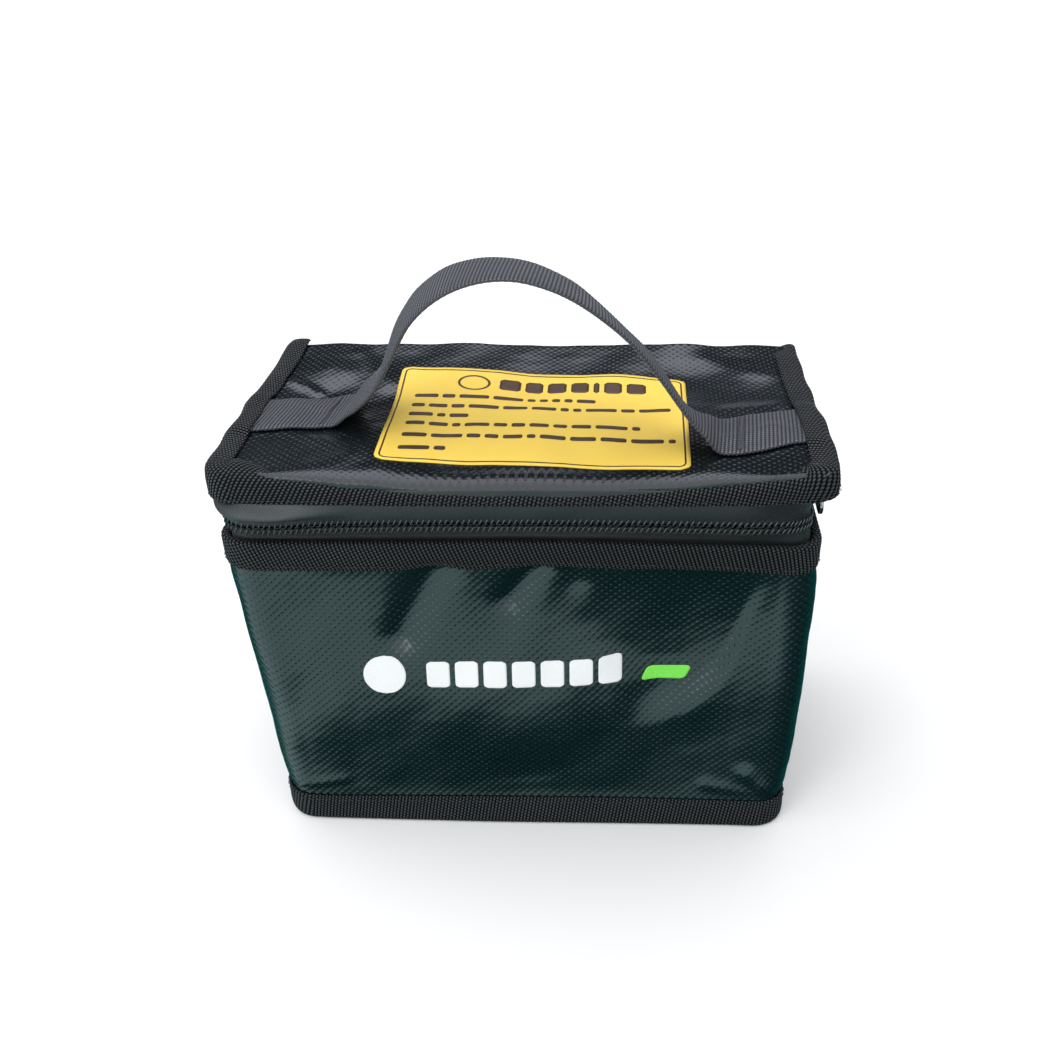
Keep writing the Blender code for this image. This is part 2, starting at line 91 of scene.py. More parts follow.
JOINTS = {joint["name"]: joint for joint in frame["joints"]}
GRIP_Y = JOINTS["handle_swing"]["pos_m"][1] / MM
HALF_D_TOP, HALF_D_FLOOR = JOINTS["lid_hinge"]["pos_m"][1] / MM, 56.5
HALF_W_TOP, HALF_W_FLOOR = high_corner("front_and_side_wall")[0], 102.5
MOUTH_Z = high_corner("mouth_binding")[2]
LID_Z = high_corner("lid_panel")[2]
CORNER_R, BACK_CORNER_R, LID_CORNER_R = 12.0, 2.0, 6.5
ZIP_END_Y = 49.5
CLOTH_THICK, LINER_THICK, FELT_THICK = 0.7, 0.45, 1.5
RIB, KNOT = 1.47, 1.24  # pitch of the binding tape's ribs, and of the knots along each rib
STRAP_RIB, STRAP_KNOT = 1.42, 1.25  # the same for the handle's webbing
CELL_U, CELL_V = 3.3, 3.0  # one cell of the coated cloth's staggered weave


# ------------------------------------------------------------------ shaping functions
def stack(*parts):
    """One array of points from its coordinates, broadcast together."""
    return np.stack(np.broadcast_arrays(*parts), -1)


def smooth(start, end, x):
    """0 at start, 1 at end, smooth between. start may be larger than end."""
    share = np.clip((np.asarray(x, float) - start) / (end - start), 0, 1)
    return share * share * (3 - 2 * share)


def bump(x, centre, width):
    """A soft round bump, 1 at its centre and 0.37 one width away."""
    return np.exp(-(((np.asarray(x, float) - centre) / width) ** 2))


def line(x, knots):
    """Straight pieces through (x, value) knots."""
    return np.interp(x, [knot[0] for knot in knots], [knot[1] for knot in knots])


def soft_line(x, knots):
    """The knots' line with its corners rounded off."""
    return sum(line(x + shift, knots) * 0.2 for shift in (-9, -4, 0, 4, 9))


def sided_line(side, x, left, right):
    """The left knots' line where side is negative, else the right one."""
    return np.where(side < 0, line(x, left), line(x, right))


def hermite(share, start, end, start_slope, end_slope):
    """Cubic from start to end, with the slopes given per whole step."""
    square, cube = share**2, share**3
    return (
        start * (2 * cube - 3 * square + 1)
        + end * (3 * square - 2 * cube)
        + start_slope * (cube - 2 * square + share)
        + end_slope * (cube - square)
    )


def curve(x, places, values):
    """A smooth curve through knots, with the slopes of neighbouring differences."""
    places, values, x = (np.asarray(part, float) for part in (places, values, x))
    slope = np.gradient(values, places)
    i = np.clip(np.searchsorted(places, x) - 1, 0, len(places) - 2)
    gap = places[i + 1] - places[i]
    share = np.clip((x - places[i]) / gap, 0, 1)
    return hermite(share, values[i], values[i + 1], slope[i] * gap, slope[i + 1] * gap)


def wave_table(seed, count, shortest, longest):
    """Plane waves as (wave number, direction, phase)."""
    rng = np.random.default_rng(seed)
    return [
        (
            TAU / (shortest * (longest / shortest) ** rng.random()),
            rng.random() * TAU,
            rng.random() * TAU,
        )
        for _ in range(count)
    ]


def ripple(x, y, table):
    """Repeatable smooth noise from a table of plane waves, about -1 to 1."""
    total = np.zeros(np.broadcast(x, y).shape)
    for number, angle, phase in table:
        total = total + np.sin(number * (x * math.cos(angle) + y * math.sin(angle)) + phase)
    return total / math.sqrt(len(table))


LONG_WAVES = wave_table(seed=3, count=7, shortest=45, longest=110)
MID_WAVES = wave_table(seed=5, count=9, shortest=16, longest=40)
FINE_WAVES = wave_table(seed=9, count=9, shortest=5, longest=12)


def thin_plate(points):
    """The smoothest surface through (x, y, height) points, as a function of x and y."""
    points = np.array(points, float)
    count, unit, slack = len(points), 100, 2e-3
    plan = points[:, :2] / unit

    def kernel(square):
        return 0.5 * square * np.log(np.maximum(square, 1e-12))

    system = np.zeros((count + 3, count + 3))
    gaps = ((plan[:, None] - plan[None]) ** 2).sum(-1)
    system[:count, :count] = kernel(gaps) + slack * np.eye(count)
    system[:count, count] = 1
    system[:count, count + 1 :] = plan
    system[count:, :count] = system[:count, count:].T
    weights = np.linalg.solve(system, np.r_[points[:, 2], 0, 0, 0])
    level, slope_x, slope_y = weights[count:]

    def surface(x, y):
        x, y = np.broadcast_arrays(np.asarray(x, float) / unit, np.asarray(y, float) / unit)
        square = (x[..., None] - plan[:, 0]) ** 2 + (y[..., None] - plan[:, 1]) ** 2
        return kernel(square) @ weights[:count] + level + slope_x * x + slope_y * y

    return surface


def creases(x, y, table):
    """Sum of straight soft creases, each (start, end, width, depth)."""
    total = 0.0
    for (ax, ay), (bx, by), width, depth in table:
        run_x, run_y = bx - ax, by - ay
        share = ((x - ax) * run_x + (y - ay) * run_y) / (run_x**2 + run_y**2)
        share = np.clip(share, 0, 1)
        square = (x - ax - share * run_x) ** 2 + (y - ay - share * run_y) ** 2
        total = total + depth * np.exp(-square / width**2)
    return total


# ------------------------------------------------------------------ meshes
def finish(obj, slot_name, body=None, *stands_for):
    """Attach an object to the body it rides on and hide the frame's pieces it replaces.
    slot_name is not used.
    """
    if body:
        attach(obj, body)
    if stands_for:
        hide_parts(*stands_for)
    return obj


def mesh_object(name, points, faces, mat, uv, phase=None, fix_normals=True):
    """A smooth mesh object from points in millimetres. uv and phase are per vertex."""
    mesh = bpy.data.meshes.new(name)
    points = np.asarray(points, float).reshape(-1, 3)
    mesh.from_pydata((points * MM).tolist(), [], faces)
    if fix_normals:
        work = bmesh.new()
        work.from_mesh(mesh)
        bmesh.ops.recalc_face_normals(work, faces=work.faces)
        work.to_mesh(mesh)
        work.free()
    layer = mesh.uv_layers.new(name="UVMap")
    loops = np.zeros(len(mesh.loops), np.int32)
    mesh.loops.foreach_get("vertex_index", loops)
    uv = np.asarray(uv, np.float32).reshape(-1, 2)
    layer.data.foreach_set("uv", uv[loops].ravel())
    if phase is not None:
        attribute = mesh.attributes.new("rib_phase", "FLOAT", "POINT")
        attribute.data.foreach_set("value", np.asarray(phase, np.float32).ravel())
    mesh.materials.append(mat)
    obj = bpy.data.objects.new(name, mesh)
    SCENE.collection.objects.link(obj)
    mesh.shade_smooth()
    return obj


def grid_faces(rows, cols, wrap_cols=False, wrap_rows=False):
    row = np.arange(rows if wrap_rows else rows - 1)[:, None]
    col = np.arange(cols if wrap_cols else cols - 1)[None, :]
    below, after = (row + 1) % rows * cols, (col + 1) % cols
    row = row * cols
    return stack(row + col, row + after, below + after, below + col).reshape(-1, 4)


def grid_rim(rows, cols):
    """Indices round the edge of an open grid, back to the first."""
    return [
        *range(cols),
        *range(2 * cols - 1, rows * cols, cols),
        *range(rows * cols - 2, (rows - 1) * cols - 1, -1),
        *range((rows - 2) * cols, 0, -cols),
        0,
    ]


def sheet_faces(rows, cols, rims, wrap_cols=False):
    """Faces of an outer grid, the inner grid numbered after it, and the rims between them."""
    count = rows * cols
    outer = grid_faces(rows, cols, wrap_cols)
    faces = [outer, outer[:, ::-1] + count]
    for rim in rims:
        here, ahead = np.array(rim[:-1]), np.array(rim[1:])
        faces.append(stack(here, here + count, ahead + count, ahead))
    return np.concatenate(faces)


def grid_normals(points, wrap_rows=False, wrap_cols=False):
    """Unit normals of a (rows, cols, 3) grid, from its differences."""

    def diff(axis, wrap):
        if wrap:
            return np.roll(points, -1, axis) - np.roll(points, 1, axis)
        return np.gradient(points, axis=axis)

    normal = np.cross(diff(1, wrap_cols), diff(0, wrap_rows))
    return normal / np.maximum(np.linalg.norm(normal, axis=2, keepdims=True), 1e-9)


def closed_sheet(name, points, thickness, mat, uv, toward, wrap_cols=False, centre=False):
    """A closed cloth sheet from a (rows, cols, 3) grid. The grid is its outer face, which looks
    along toward at the grid's middle; the inner face lies a thickness behind it. With centre, the
    first row closes into a small cap instead of a rim."""
    rows, cols = points.shape[:2]
    normal = grid_normals(points, wrap_cols=wrap_cols)
    if np.dot(normal[rows // 2, cols // 2], toward) < 0:
        normal = -normal
    count = rows * cols
    if wrap_cols:
        last = (rows - 1) * cols
        rims = [] if centre else [[*range(cols), 0]]
        rims.append([*range(last, count), last])
    else:
        rims = [grid_rim(rows, cols)]
    faces = sheet_faces(rows, cols, rims, wrap_cols).tolist()
    if centre:
        faces += [list(range(cols)), list(range(count, count + cols))]
    both = np.concatenate([points, points - normal * thickness])
    return mesh_object(name, both, faces, mat, np.concatenate([uv, uv]))


def band(name, points, along, around, mat, slant, height, pitch=RIB, knots=KNOT, wrap_rows=False):
    """A closed band from a (path, profile, 3) grid whose profile is a loop. Its surface is raised
    into the slanted ribs and knots of a narrow woven tape."""
    rows, cols = points.shape[:2]
    normal = grid_normals(points, wrap_rows=wrap_rows, wrap_cols=True)
    centre = points.mean(1, keepdims=True)
    if np.sign(np.einsum("ijk,ijk->ij", points - centre, normal)).mean() < 0:
        normal = -normal
    along = along[:, None]
    phase = (along + slant * around) / pitch
    rib = 0.5 + 0.5 * np.cos(TAU * phase)
    knot = 0.5 + 0.5 * np.cos(TAU * around / knots + math.pi * np.round(phase))
    ridge = rib**0.8 * (0.45 + 0.55 * knot)
    points = points + normal * (height * (ridge - 0.35))[..., None]
    faces = grid_faces(rows, cols, True, wrap_rows).tolist()
    if not wrap_rows:
        faces += [list(range(cols)), list(range((rows - 1) * cols, rows * cols))]
    return mesh_object(name, points, faces, mat, stack(along, around), phase)


def path_lengths(points):
    """Distance from the first point to each one."""
    return np.r_[0, np.cumsum(np.linalg.norm(np.diff(points, axis=0), axis=1))]


def loop_counts(knots, step):
    """How many points to put in each gap of a closed loop."""
    knots = np.array(knots, float)
    gaps = np.linalg.norm(np.roll(knots, -1, 0) - knots, axis=1)
    return [max(2, int(round(gap / step))) for gap in gaps]


def loop_through(knots, counts):
    """A closed smooth loop through (out, z) knots, with a set number of points in each gap."""
    knots = np.array(knots, float)
    out = []
    for i, count in enumerate(counts):
        before, start, end, after = (knots[(i + k) % len(knots)] for k in (-1, 0, 1, 2))
        share = (np.arange(count) / count)[:, None]
        reach = np.linalg.norm(end - start)
        slopes = [(end - before) * 0.38, (after - start) * 0.38]
        slopes = [m * min(1, reach / max(np.linalg.norm(m), 1e-6)) for m in slopes]
        out.append(hermite(share, start, end, *slopes))
    return np.concatenate(out)


def capsule_template(around=7, rings=4):
    """A unit stroke along x with rounded ends."""
    points = [(-1.0, 0, 0)]
    for i in range(rings):
        x = -math.cos(math.pi * (i + 0.7) / (rings + 0.4))
        radius = (1 - abs(x) ** 3.2) ** (1 / 2.2)
        for j in range(around):
            angle = TAU * j / around
            points.append((x, radius * math.cos(angle), radius * math.sin(angle)))
    points.append((1.0, 0, 0))
    tip = len(points) - 1
    faces = []
    for j in range(around):
        k = (j + 1) % around
        faces.append((0, 1 + k, 1 + j))
        for i in range(rings - 1):
            ring = 1 + i * around
            after = ring + around
            faces.append((ring + j, ring + k, after + k, after + j))
        ring = 1 + (rings - 1) * around
        faces.append((tip, ring + j, ring + k))
    return np.array(points), faces


CAPSULE_POINTS, CAPSULE_FACES = capsule_template()


def capsules(name, centres, long_axis, side_axis, half, radius, mat):
    """Many small rounded strokes in one mesh: thread, stitches or zip coil."""
    axis_x = long_axis / np.linalg.norm(long_axis, axis=1, keepdims=True)
    axis_z = np.cross(axis_x, side_axis)
    axis_z /= np.linalg.norm(axis_z, axis=1, keepdims=True)
    axis_y = np.cross(axis_z, axis_x)
    unit = CAPSULE_POINTS
    points = (
        centres[:, None]
        + axis_x[:, None] * (unit[None, :, :1] * half)
        + axis_y[:, None] * (unit[None, :, 1:2] * radius)
        + axis_z[:, None] * (unit[None, :, 2:] * radius)
    )
    step, count = len(unit), len(centres)
    faces = [[i * step + k for k in face] for i in range(count) for face in CAPSULE_FACES]
    uv = np.tile(unit[:, :2], (count, 1))
    return mesh_object(name, points, faces, mat, uv, fix_normals=False)


def stitches(name, points, normal, body, pitch=3.3, length=2.3, radius=0.17):
    """A row of sewn thread along a path of points on a surface with the given normals."""
    normal = np.broadcast_to(normal, points.shape)
    run = path_lengths(points)
    places = np.arange(pitch * 0.6, run[-1] - pitch * 0.4, pitch)

    def sample(values, shift=0.0):
        return np.stack([np.interp(places + shift, run, values[:, i]) for i in range(3)], -1)

    axis = sample(points, 0.4) - sample(points, -0.4)
    out = sample(normal)
    out /= np.linalg.norm(out, axis=1, keepdims=True)
    centres = sample(points) + out * (radius * 0.55 - 0.02)  # slightly sunk into the cloth
    row = capsules(name, centres, axis, out, length / 2, radius, THREAD)
    finish(row, "stitch_thread", body)


# ------------------------------------------------------------------ node building
class Wire:
    """A node socket that adds, subtracts and multiplies."""

    def __init__(self, net, socket):
        self.net, self.socket = net, socket

    def __add__(self, other):
        return self.net.math("ADD", self, other)

    __radd__ = __add__

    def __sub__(self, other):
        return self.net.math("SUBTRACT", self, other)

    def __mul__(self, other):
        return self.net.math("MULTIPLY", self, other)


class Net:
    """A small builder for node trees."""

    def __init__(self, tree):
        self.nodes, self.links = tree.nodes, tree.links

    def put(self, socket, value):
        if isinstance(value, Wire):
            self.links.new(value.socket, socket)
        elif isinstance(value, tuple) and len(value) == 3 and len(socket.default_value) == 4:
            socket.default_value = (*value, 1.0)
        else:
            socket.default_value = value

    def source(self, kind, output):
        return Wire(self, self.nodes.new(kind).outputs[output])

    def math(self, operation, *values):
        node = self.nodes.new("ShaderNodeMath")
        node.operation = operation
        for socket, value in zip(node.inputs, values):
            self.put(socket, value)
        return Wire(self, node.outputs[0])

    def cos(self, value):
        return self.math("COSINE", value)

    def step(self, value, low, high):
        """0 at low, 1 at high, smooth between. low may be larger than high."""
        node = self.nodes.new("ShaderNodeMapRange")
        node.interpolation_type, node.clamp = "SMOOTHSTEP", True
        for i, part in enumerate((value, low, high, 0.0, 1.0)):
            self.put(node.inputs[i], part)
        return Wire(self, node.outputs[0])

    def uv(self):
        """The two lengths of the UV map, in millimetres on cloth."""
        node = self.nodes.new("ShaderNodeUVMap")
        node.uv_map = "UVMap"
        return self.split(Wire(self, node.outputs[0]))[:2]

    def place(self):
        """Position in the object, in metres."""
        return self.source("ShaderNodeTexCoord", "Object")

    def split(self, vector):
        node = self.nodes.new("ShaderNodeSeparateXYZ")
        self.put(node.inputs[0], vector)
        return [Wire(self, output) for output in node.outputs]

    def join(self, x, y, z=0.0):
        node = self.nodes.new("ShaderNodeCombineXYZ")
        for socket, value in zip(node.inputs, (x, y, z)):
            self.put(socket, value)
        return Wire(self, node.outputs[0])

    def noise(self, vector, scale, detail=3.0, rough=0.55):
        node = self.nodes.new("ShaderNodeTexNoise")
        self.put(node.inputs["Vector"], vector)
        node.inputs["Scale"].default_value = scale
        node.inputs["Detail"].default_value = detail
        node.inputs["Roughness"].default_value = rough
        return Wire(self, node.outputs[0])

    def mix(self, factor, low, high):
        """Colour between low (factor 0) and high (factor 1)."""
        node = self.nodes.new("ShaderNodeMix")
        node.data_type = "RGBA"
        self.put(node.inputs["Factor"], factor)
        self.put(node.inputs[6], low)  # inputs 6 and 7 and output 2 are the colour sockets
        self.put(node.inputs[7], high)
        return Wire(self, node.outputs[2])

    def bump(self, height, distance):
        """Normal from a height, with the distance in millimetres."""
        node = self.nodes.new("ShaderNodeBump")
        node.inputs["Strength"].default_value = 1.0
        node.inputs["Distance"].default_value = distance * MM
        self.put(node.inputs["Height"], height)
        return Wire(self, node.outputs[0])


class Material(Net):
    """A new material's nodes; shade sets its shader's inputs and gives the material."""

    def __init__(self, name):
        self.material = bpy.data.materials.new(name)
        self.material.use_nodes = True
        super().__init__(self.material.node_tree)
        self.shader = self.nodes["Principled BSDF"]

    def shade(self, inputs):
        for name, value in inputs.items():
            self.put(self.shader.inputs[name], value)
        return self.material


def tone(colour, gain, lift=0.0):
    return tuple(channel * gain + lift for channel in colour)


# ------------------------------------------------------------------ materials
# Numbers that multiply a pattern in a height, a roughness or a mix are that pattern's share.
def coated_cloth(name, base, rough, depth):
    """Glass cloth under a glossy dark coating: a staggered lattice of small raised knots with
    painted shade in the valleys between them, faint smears and rubbed spots."""
    net = Material(name)
    along, across = net.uv()
    place = net.place()
    wander = net.noise(place, scale=45.0, detail=2.0)  # bends the lattice a little
    lattice = net.cos(along * (TAU / CELL_U) + wander * 1.5) * net.cos(
        across * (TAU / CELL_V) + wander * 1.5
    )
    knot = net.step(lattice, low=0.2, high=1.0)
    valley = net.step(lattice, low=0.25, high=-0.75)
    # single threads, 0.44 by 0.4 mm apart
    thread = net.cos(along * (TAU / 0.44)) * 0.5 + net.cos(across * (TAU / 0.4)) * 0.5
    uneven = net.noise(place, scale=350.0, detail=1.0) * 1.3 + 0.35
    grain = net.noise(place, scale=2600.0, detail=2.0)
    patchy = net.noise(place, scale=16.0, detail=4.0)
    height = knot * uneven - valley * 0.25 + thread * 0.03 + grain * 0.16
    smear = net.step(patchy, low=0.42, high=0.68)
    worn = net.step(net.noise(place, scale=210.0, detail=5.0, rough=0.7), low=0.66, high=0.8)
    colour = net.mix(patchy, tone(base, 0.72), tone(base, 1.25))
    # painted shade: the colour is darkened in the lattice's valleys
    colour = net.mix(valley * 0.35, colour, tone(base, 0.4))
    colour = net.mix(worn * 0.25, colour, tone(base, 2.0, 0.004))
    return net.shade({
        "Base Color": colour,
        "Roughness": rough + smear * 0.05 + grain * 0.06 + worn * 0.1,
        "Normal": net.bump(height, depth),
        "IOR": 1.5,
        "Specular IOR Level": 0.5,
    })


def tape_cloth(name, base, rough, sheen, painted_crevice_shade, fibre=1.0, specular=0.35, knots=KNOT, depth=0.22):
    """Narrow woven tape: the ribs and the staggered knots along them, painted shade in the crevices
    between, rubbed crowns and loose fibres. The mesh carries the same ribs, coarser."""
    net = Material(name)
    node = net.nodes.new("ShaderNodeAttribute")
    node.attribute_name = "rib_phase"
    phase = Wire(net, node.outputs["Fac"])
    place = net.place()
    along, across = net.uv()
    rib = net.cos(phase * TAU) * 0.5 + 0.5
    turn = net.math("ROUND", phase)  # every other rib's knots are shifted
    knot = net.cos(across * (TAU / knots) + turn * math.pi) * 0.5 + 0.5
    ridge = net.math("POWER", rib, 0.8) * (knot * 0.72 + 0.28)
    hair = net.noise(net.join(along * 2.2, across * 9.0), scale=1.0, detail=4.0, rough=0.7)
    patchy = net.noise(place, scale=28.0, detail=4.0)
    fuzz = net.noise(place, scale=1800.0, detail=3.0)
    crown = net.step(ridge, low=0.12, high=0.72)
    pale = tone(base, 1.9, 0.002)
    # painted shade: the colour darkens from the crowns down into the crevices between the ribs
    colour = net.mix(crown, tone(base, 1 - painted_crevice_shade), base)
    colour = net.mix(crown * net.step(hair, low=0.5, high=0.75) * 0.8, colour, pale)
    colour = net.mix(crown * net.step(patchy, low=0.5, high=0.75) * 0.35, colour, pale)
    return net.shade({
        "Base Color": colour,
        "Roughness": rough + fuzz * 0.15 - crown * 0.1,
        "Normal": net.bump(ridge + hair * 0.2 * fibre + fuzz * 0.12 * fibre, depth),
        "Sheen Roughness": 0.45,
        "Sheen Weight": crown * sheen,
        "Specular IOR Level": crown * specular + 0.03,
    })


def twill_cloth(name, base, rough, depth, specular=0.4):
    """Flat woven cloth with a fine diagonal."""
    pitch = 1.1
    net = Material(name)
    along, across = net.uv()
    place = net.place()
    diagonal = net.math("SINE", (along + across) * (TAU / pitch))
    cross = net.math("SINE", (along - across * 0.35) * (TAU / (pitch * 0.55)))
    grain = net.noise(place, scale=1500.0)
    patchy = net.noise(place, scale=30.0, detail=4.0)
    height = diagonal * 0.5 + cross * 0.2 + grain * 0.5
    colour = net.mix(net.step(diagonal, low=-0.9, high=0.8), tone(base, 0.62), tone(base, 1.2))
    colour = net.mix(net.step(patchy, low=0.45, high=0.75) * 0.4, colour, tone(base, 1.5))
    return net.shade({
        "Base Color": colour,
        "Roughness": rough + grain * 0.12,
        "Normal": net.bump(height, depth),
        "Specular IOR Level": specular,
        "Sheen Weight": 0.1,
    })


def thread_like(name, base, rough, specular=0.4):
    """Spun thread or moulded coil: a fine twist along each stroke."""
    net = Material(name)
    place = net.place()
    along, across = net.uv()
    ply = net.math("SINE", along * 16.0 + across * 5.0)
    grain = net.noise(place, scale=900.0)
    return net.shade({
        "Base Color": net.mix(grain, tone(base, 0.6), tone(base, 1.5)),
        "Roughness": rough + grain * 0.1,
        "Normal": net.bump(ply * 0.5 + grain * 0.4, distance=0.03),
        "Specular IOR Level": specular,
    })


def felt(name, base):
    """Pale needled glass-fibre felt: two noises, squeezed along x and along z."""
    net = Material(name)
    x, y, z = net.split(net.place())
    fibre = net.noise(net.join(x * 3.0, y, z), scale=420.0, detail=6.0, rough=0.75)
    crossing = net.noise(net.join(x, y, z * 3.0), scale=380.0, detail=6.0, rough=0.75)
    tangle = fibre * crossing
    return net.shade({
        "Base Color": net.mix(net.step(tangle, low=0.15, high=0.4), tone(base, 0.7), base),
        "Normal": net.bump(tangle, distance=0.5),
        "Roughness": 0.92,
    })


def film(name, base, speck, weave, worn, rough=0.4, specular=0.5, tint=(1.0, 1.0, 1.0)):
    """Printed film that lies on the cloth: the lattice below shows faintly, and tiny ink misses
    and rubbed spots break it up."""
    net = Material(name)
    along, across = net.uv()
    place = net.place()
    lattice = net.cos(along * (TAU / CELL_U)) * net.cos(across * (TAU / CELL_V))
    grain = net.noise(place, scale=900.0)
    miss = net.step(net.noise(place, scale=2300.0, detail=2.0), low=0.68, high=0.76)
    patchy = net.noise(place, scale=40.0, detail=4.0)
    colour = net.mix(net.step(patchy, low=0.35, high=0.75) * worn, base, tone(base, 0.86))
    return net.shade({
        "Base Color": net.mix(miss * worn, colour, speck),
        "Roughness": rough + grain * 0.08,
        "Normal": net.bump(net.step(lattice, low=0.1, high=1.0) + grain * 0.3, weave),
        "Specular IOR Level": specular,
        "Specular Tint": tint,
    })


def cast_metal(name, base, bare):
    """Black-finished zinc with rubbed edges."""
    net = Material(name)
    place = net.place()
    pointiness = net.source("ShaderNodeNewGeometry", "Pointiness")
    edge = net.step(pointiness, low=0.5, high=0.56)
    pits = net.noise(place, scale=700.0, detail=5.0, rough=0.65)
    streak = net.join(net.split(place)[1] * 0.2, net.split(place)[2])
    scratch = net.noise(streak, scale=2400.0)
    rub = edge * net.step(pits, low=0.35, high=0.7)
    return net.shade({
        "Base Color": net.mix(rub, base, bare),
        "Roughness": 0.32 + pits * 0.2 - rub * 0.12,
        "Normal": net.bump(pits * 0.5 + net.step(scratch, low=0.6, high=0.75) * 0.4, distance=0.02),
        "Metallic": 0.9,
    })


CLOTH = coated_cloth("coated_glass_cloth", (0.0022, 0.0130, 0.0145), rough=0.2, depth=0.12)
# painted shade: the lid's cloth is the walls' cloth again, with a darker base colour
SHADED_LID_CLOTH = coated_cloth("coated_glass_cloth_lid_painted_shade", (0.0030, 0.0062, 0.0078), rough=0.17, depth=0.07)
TAPE = tape_cloth("binding_tape", (0.0260, 0.0290, 0.0320), rough=0.58, sheen=0.12, painted_crevice_shade=0.92)
WEBBING = tape_cloth(
    "handle_webbing", (0.066, 0.069, 0.080), rough=0.38, sheen=0.1, painted_crevice_shade=0.45,
    fibre=0.6, specular=0.75, knots=STRAP_KNOT, depth=0.08,
)
FELT = felt("glass_fibre_felt", (0.72, 0.70, 0.62))
LINER = twill_cloth("liner_cloth", (0.10, 0.105, 0.11), rough=0.6, depth=0.06)
ZIP_CLOTH = twill_cloth(
    "zip_tape", (0.0055, 0.0095, 0.0105), rough=0.32, depth=0.08, specular=0.5
)
COIL = thread_like("zip_coil", (0.012, 0.017, 0.019), rough=0.26, specular=0.7)
METAL = cast_metal("slider_metal", (0.05, 0.05, 0.055), bare=(0.42, 0.41, 0.4))
THREAD = thread_like("stitch_thread", (0.016, 0.019, 0.021), rough=0.55)
TACK = thread_like("bar_tack_thread", (0.05, 0.052, 0.06), rough=0.5)
LABEL = film(
    "label_film", (0.95, 0.66, 0.105), speck=(0.55, 0.3, 0.05), weave=0.012, worn=0.25,
    rough=0.45, specular=0.55, tint=(1.0, 0.92, 0.35),
)
INK = film("label_ink", (0.050, 0.024, 0.008), speck=(0.5, 0.3, 0.06), weave=0.01, worn=0.4)
WHITE = film("print_white", (0.80, 0.82, 0.82), speck=(0.35, 0.38, 0.38), weave=0.03, worn=0.3)
GREEN = film("print_green", (0.17, 0.72, 0.06), speck=(0.08, 0.35, 0.03), weave=0.03, worn=0.3)


# ------------------------------------------------------------------ the body's outline
def taper(floor, top, z):
    return floor + (top - floor) * np.clip(np.asarray(z, float) / MOUTH_Z, 0, 1)


def half_w(z):
    return taper(HALF_W_FLOOR, HALF_W_TOP, z)


def half_d(z):
    return taper(HALF_D_FLOOR, HALF_D_TOP, z)


class Outline:
    """The bag seen from above. A run goes along it in millimetres: 0 at the middle of the front,
    negative to the left, and on round the corners to the middle of the back."""

    def __init__(self, radius, back_radius):
        self.radius, self.back_radius = radius, back_radius
        self.front = HALF_W_TOP - radius
        self.side_from = self.front + math.pi / 2 * radius
        self.side_to = self.side_from + 2 * HALF_D_TOP - radius - back_radius
        self.back_from = self.side_to + math.pi / 2 * back_radius
        self.end = self.back_from + HALF_W_TOP - back_radius

    def at(self, run, z):
        """Place x, y and outward direction x, y."""
        run, z = np.broadcast_arrays(np.asarray(run, float), np.asarray(z, float))
        wide, deep, size = half_w(z), half_d(z), np.abs(run)
        sign = np.where(run < 0, -1.0, 1.0)

        def share(start, end):
            # the least length stands in for a corner with no radius
            return np.clip((size - start) / max(end - start, 1e-6), 0, 1)

        front = share(0, self.front)
        turn = share(self.front, self.side_from) * math.pi / 2
        side = share(self.side_from, self.side_to)
        back_turn = share(self.side_to, self.back_from) * math.pi / 2
        back = share(self.back_from, self.end)
        fore, aft = self.radius, self.back_radius
        x = (wide - fore) * front + fore * np.sin(turn)
        x = x - aft * (1 - np.cos(back_turn)) - (wide - aft) * back
        y = -(deep - fore) - fore * np.cos(turn)
        y = y + side * (2 * deep - fore - aft) + aft * np.sin(back_turn)
        angle = turn + back_turn
        return sign * x, y, sign * np.sin(angle), -np.cos(angle)


BODY = Outline(CORNER_R, BACK_CORNER_R)
LID = Outline(LID_CORNER_R, 0.0)

# How far the front stands out of the plain outline: (z, ((x, out), ...)).
FRONT_PUSH = (
    (0.0, ((-107, 1.5), (-92, 2.6), (-69, 2.4), (-16, 1.7), (35, 0.0), (70, -1.1), (90, -1.5),
           (107, -1.0))),
    (11.5, ((-107, 0.8), (-96, 1.5), (-87, 2.1), (-54, 0.7), (-8, -1.1), (37, -2.6), (70, -3.0),
            (100, -3.2), (107, -2.6))),
    (55.0, ((-107, 1.2), (-90, 2.8), (-77, 4.0), (-58, 3.8), (-20, 3.6), (10, 2.8), (32, -0.6),
            (52, -3.9), (70, -4.4), (90, -2.4), (107, -0.8))),
    (121.5, ((-107, -0.8), (-80, -1.2), (-60, -0.9), (-34, -3.1), (1, -5.5), (31, -6.4),
             (62, -6.2), (91, -4.4), (107, -2.2))),
    (133.5, ((-107, -0.6), (-89, -0.8), (-59, -0.9), (-33, -1.9), (1, -3.5), (32, -3.4),
             (61, -1.9), (90, -1.6), (107, -1.2))),
)
# The wide hollow on the right: the height of its curved rim over x, and its left edge over z.
HOLLOW_RIM_X = (15, 30, 46, 57, 68, 76, 81, 85, 90, 96, 107)
HOLLOW_RIM_Z = (58, 55, 55, 59, 66, 76, 88, 103, 115, 120, 122)
HOLLOW_LEFT = ((60, 44), (70, 42), (80, 36), (88, 28), (96, 23), (105, 21), (121, 18))
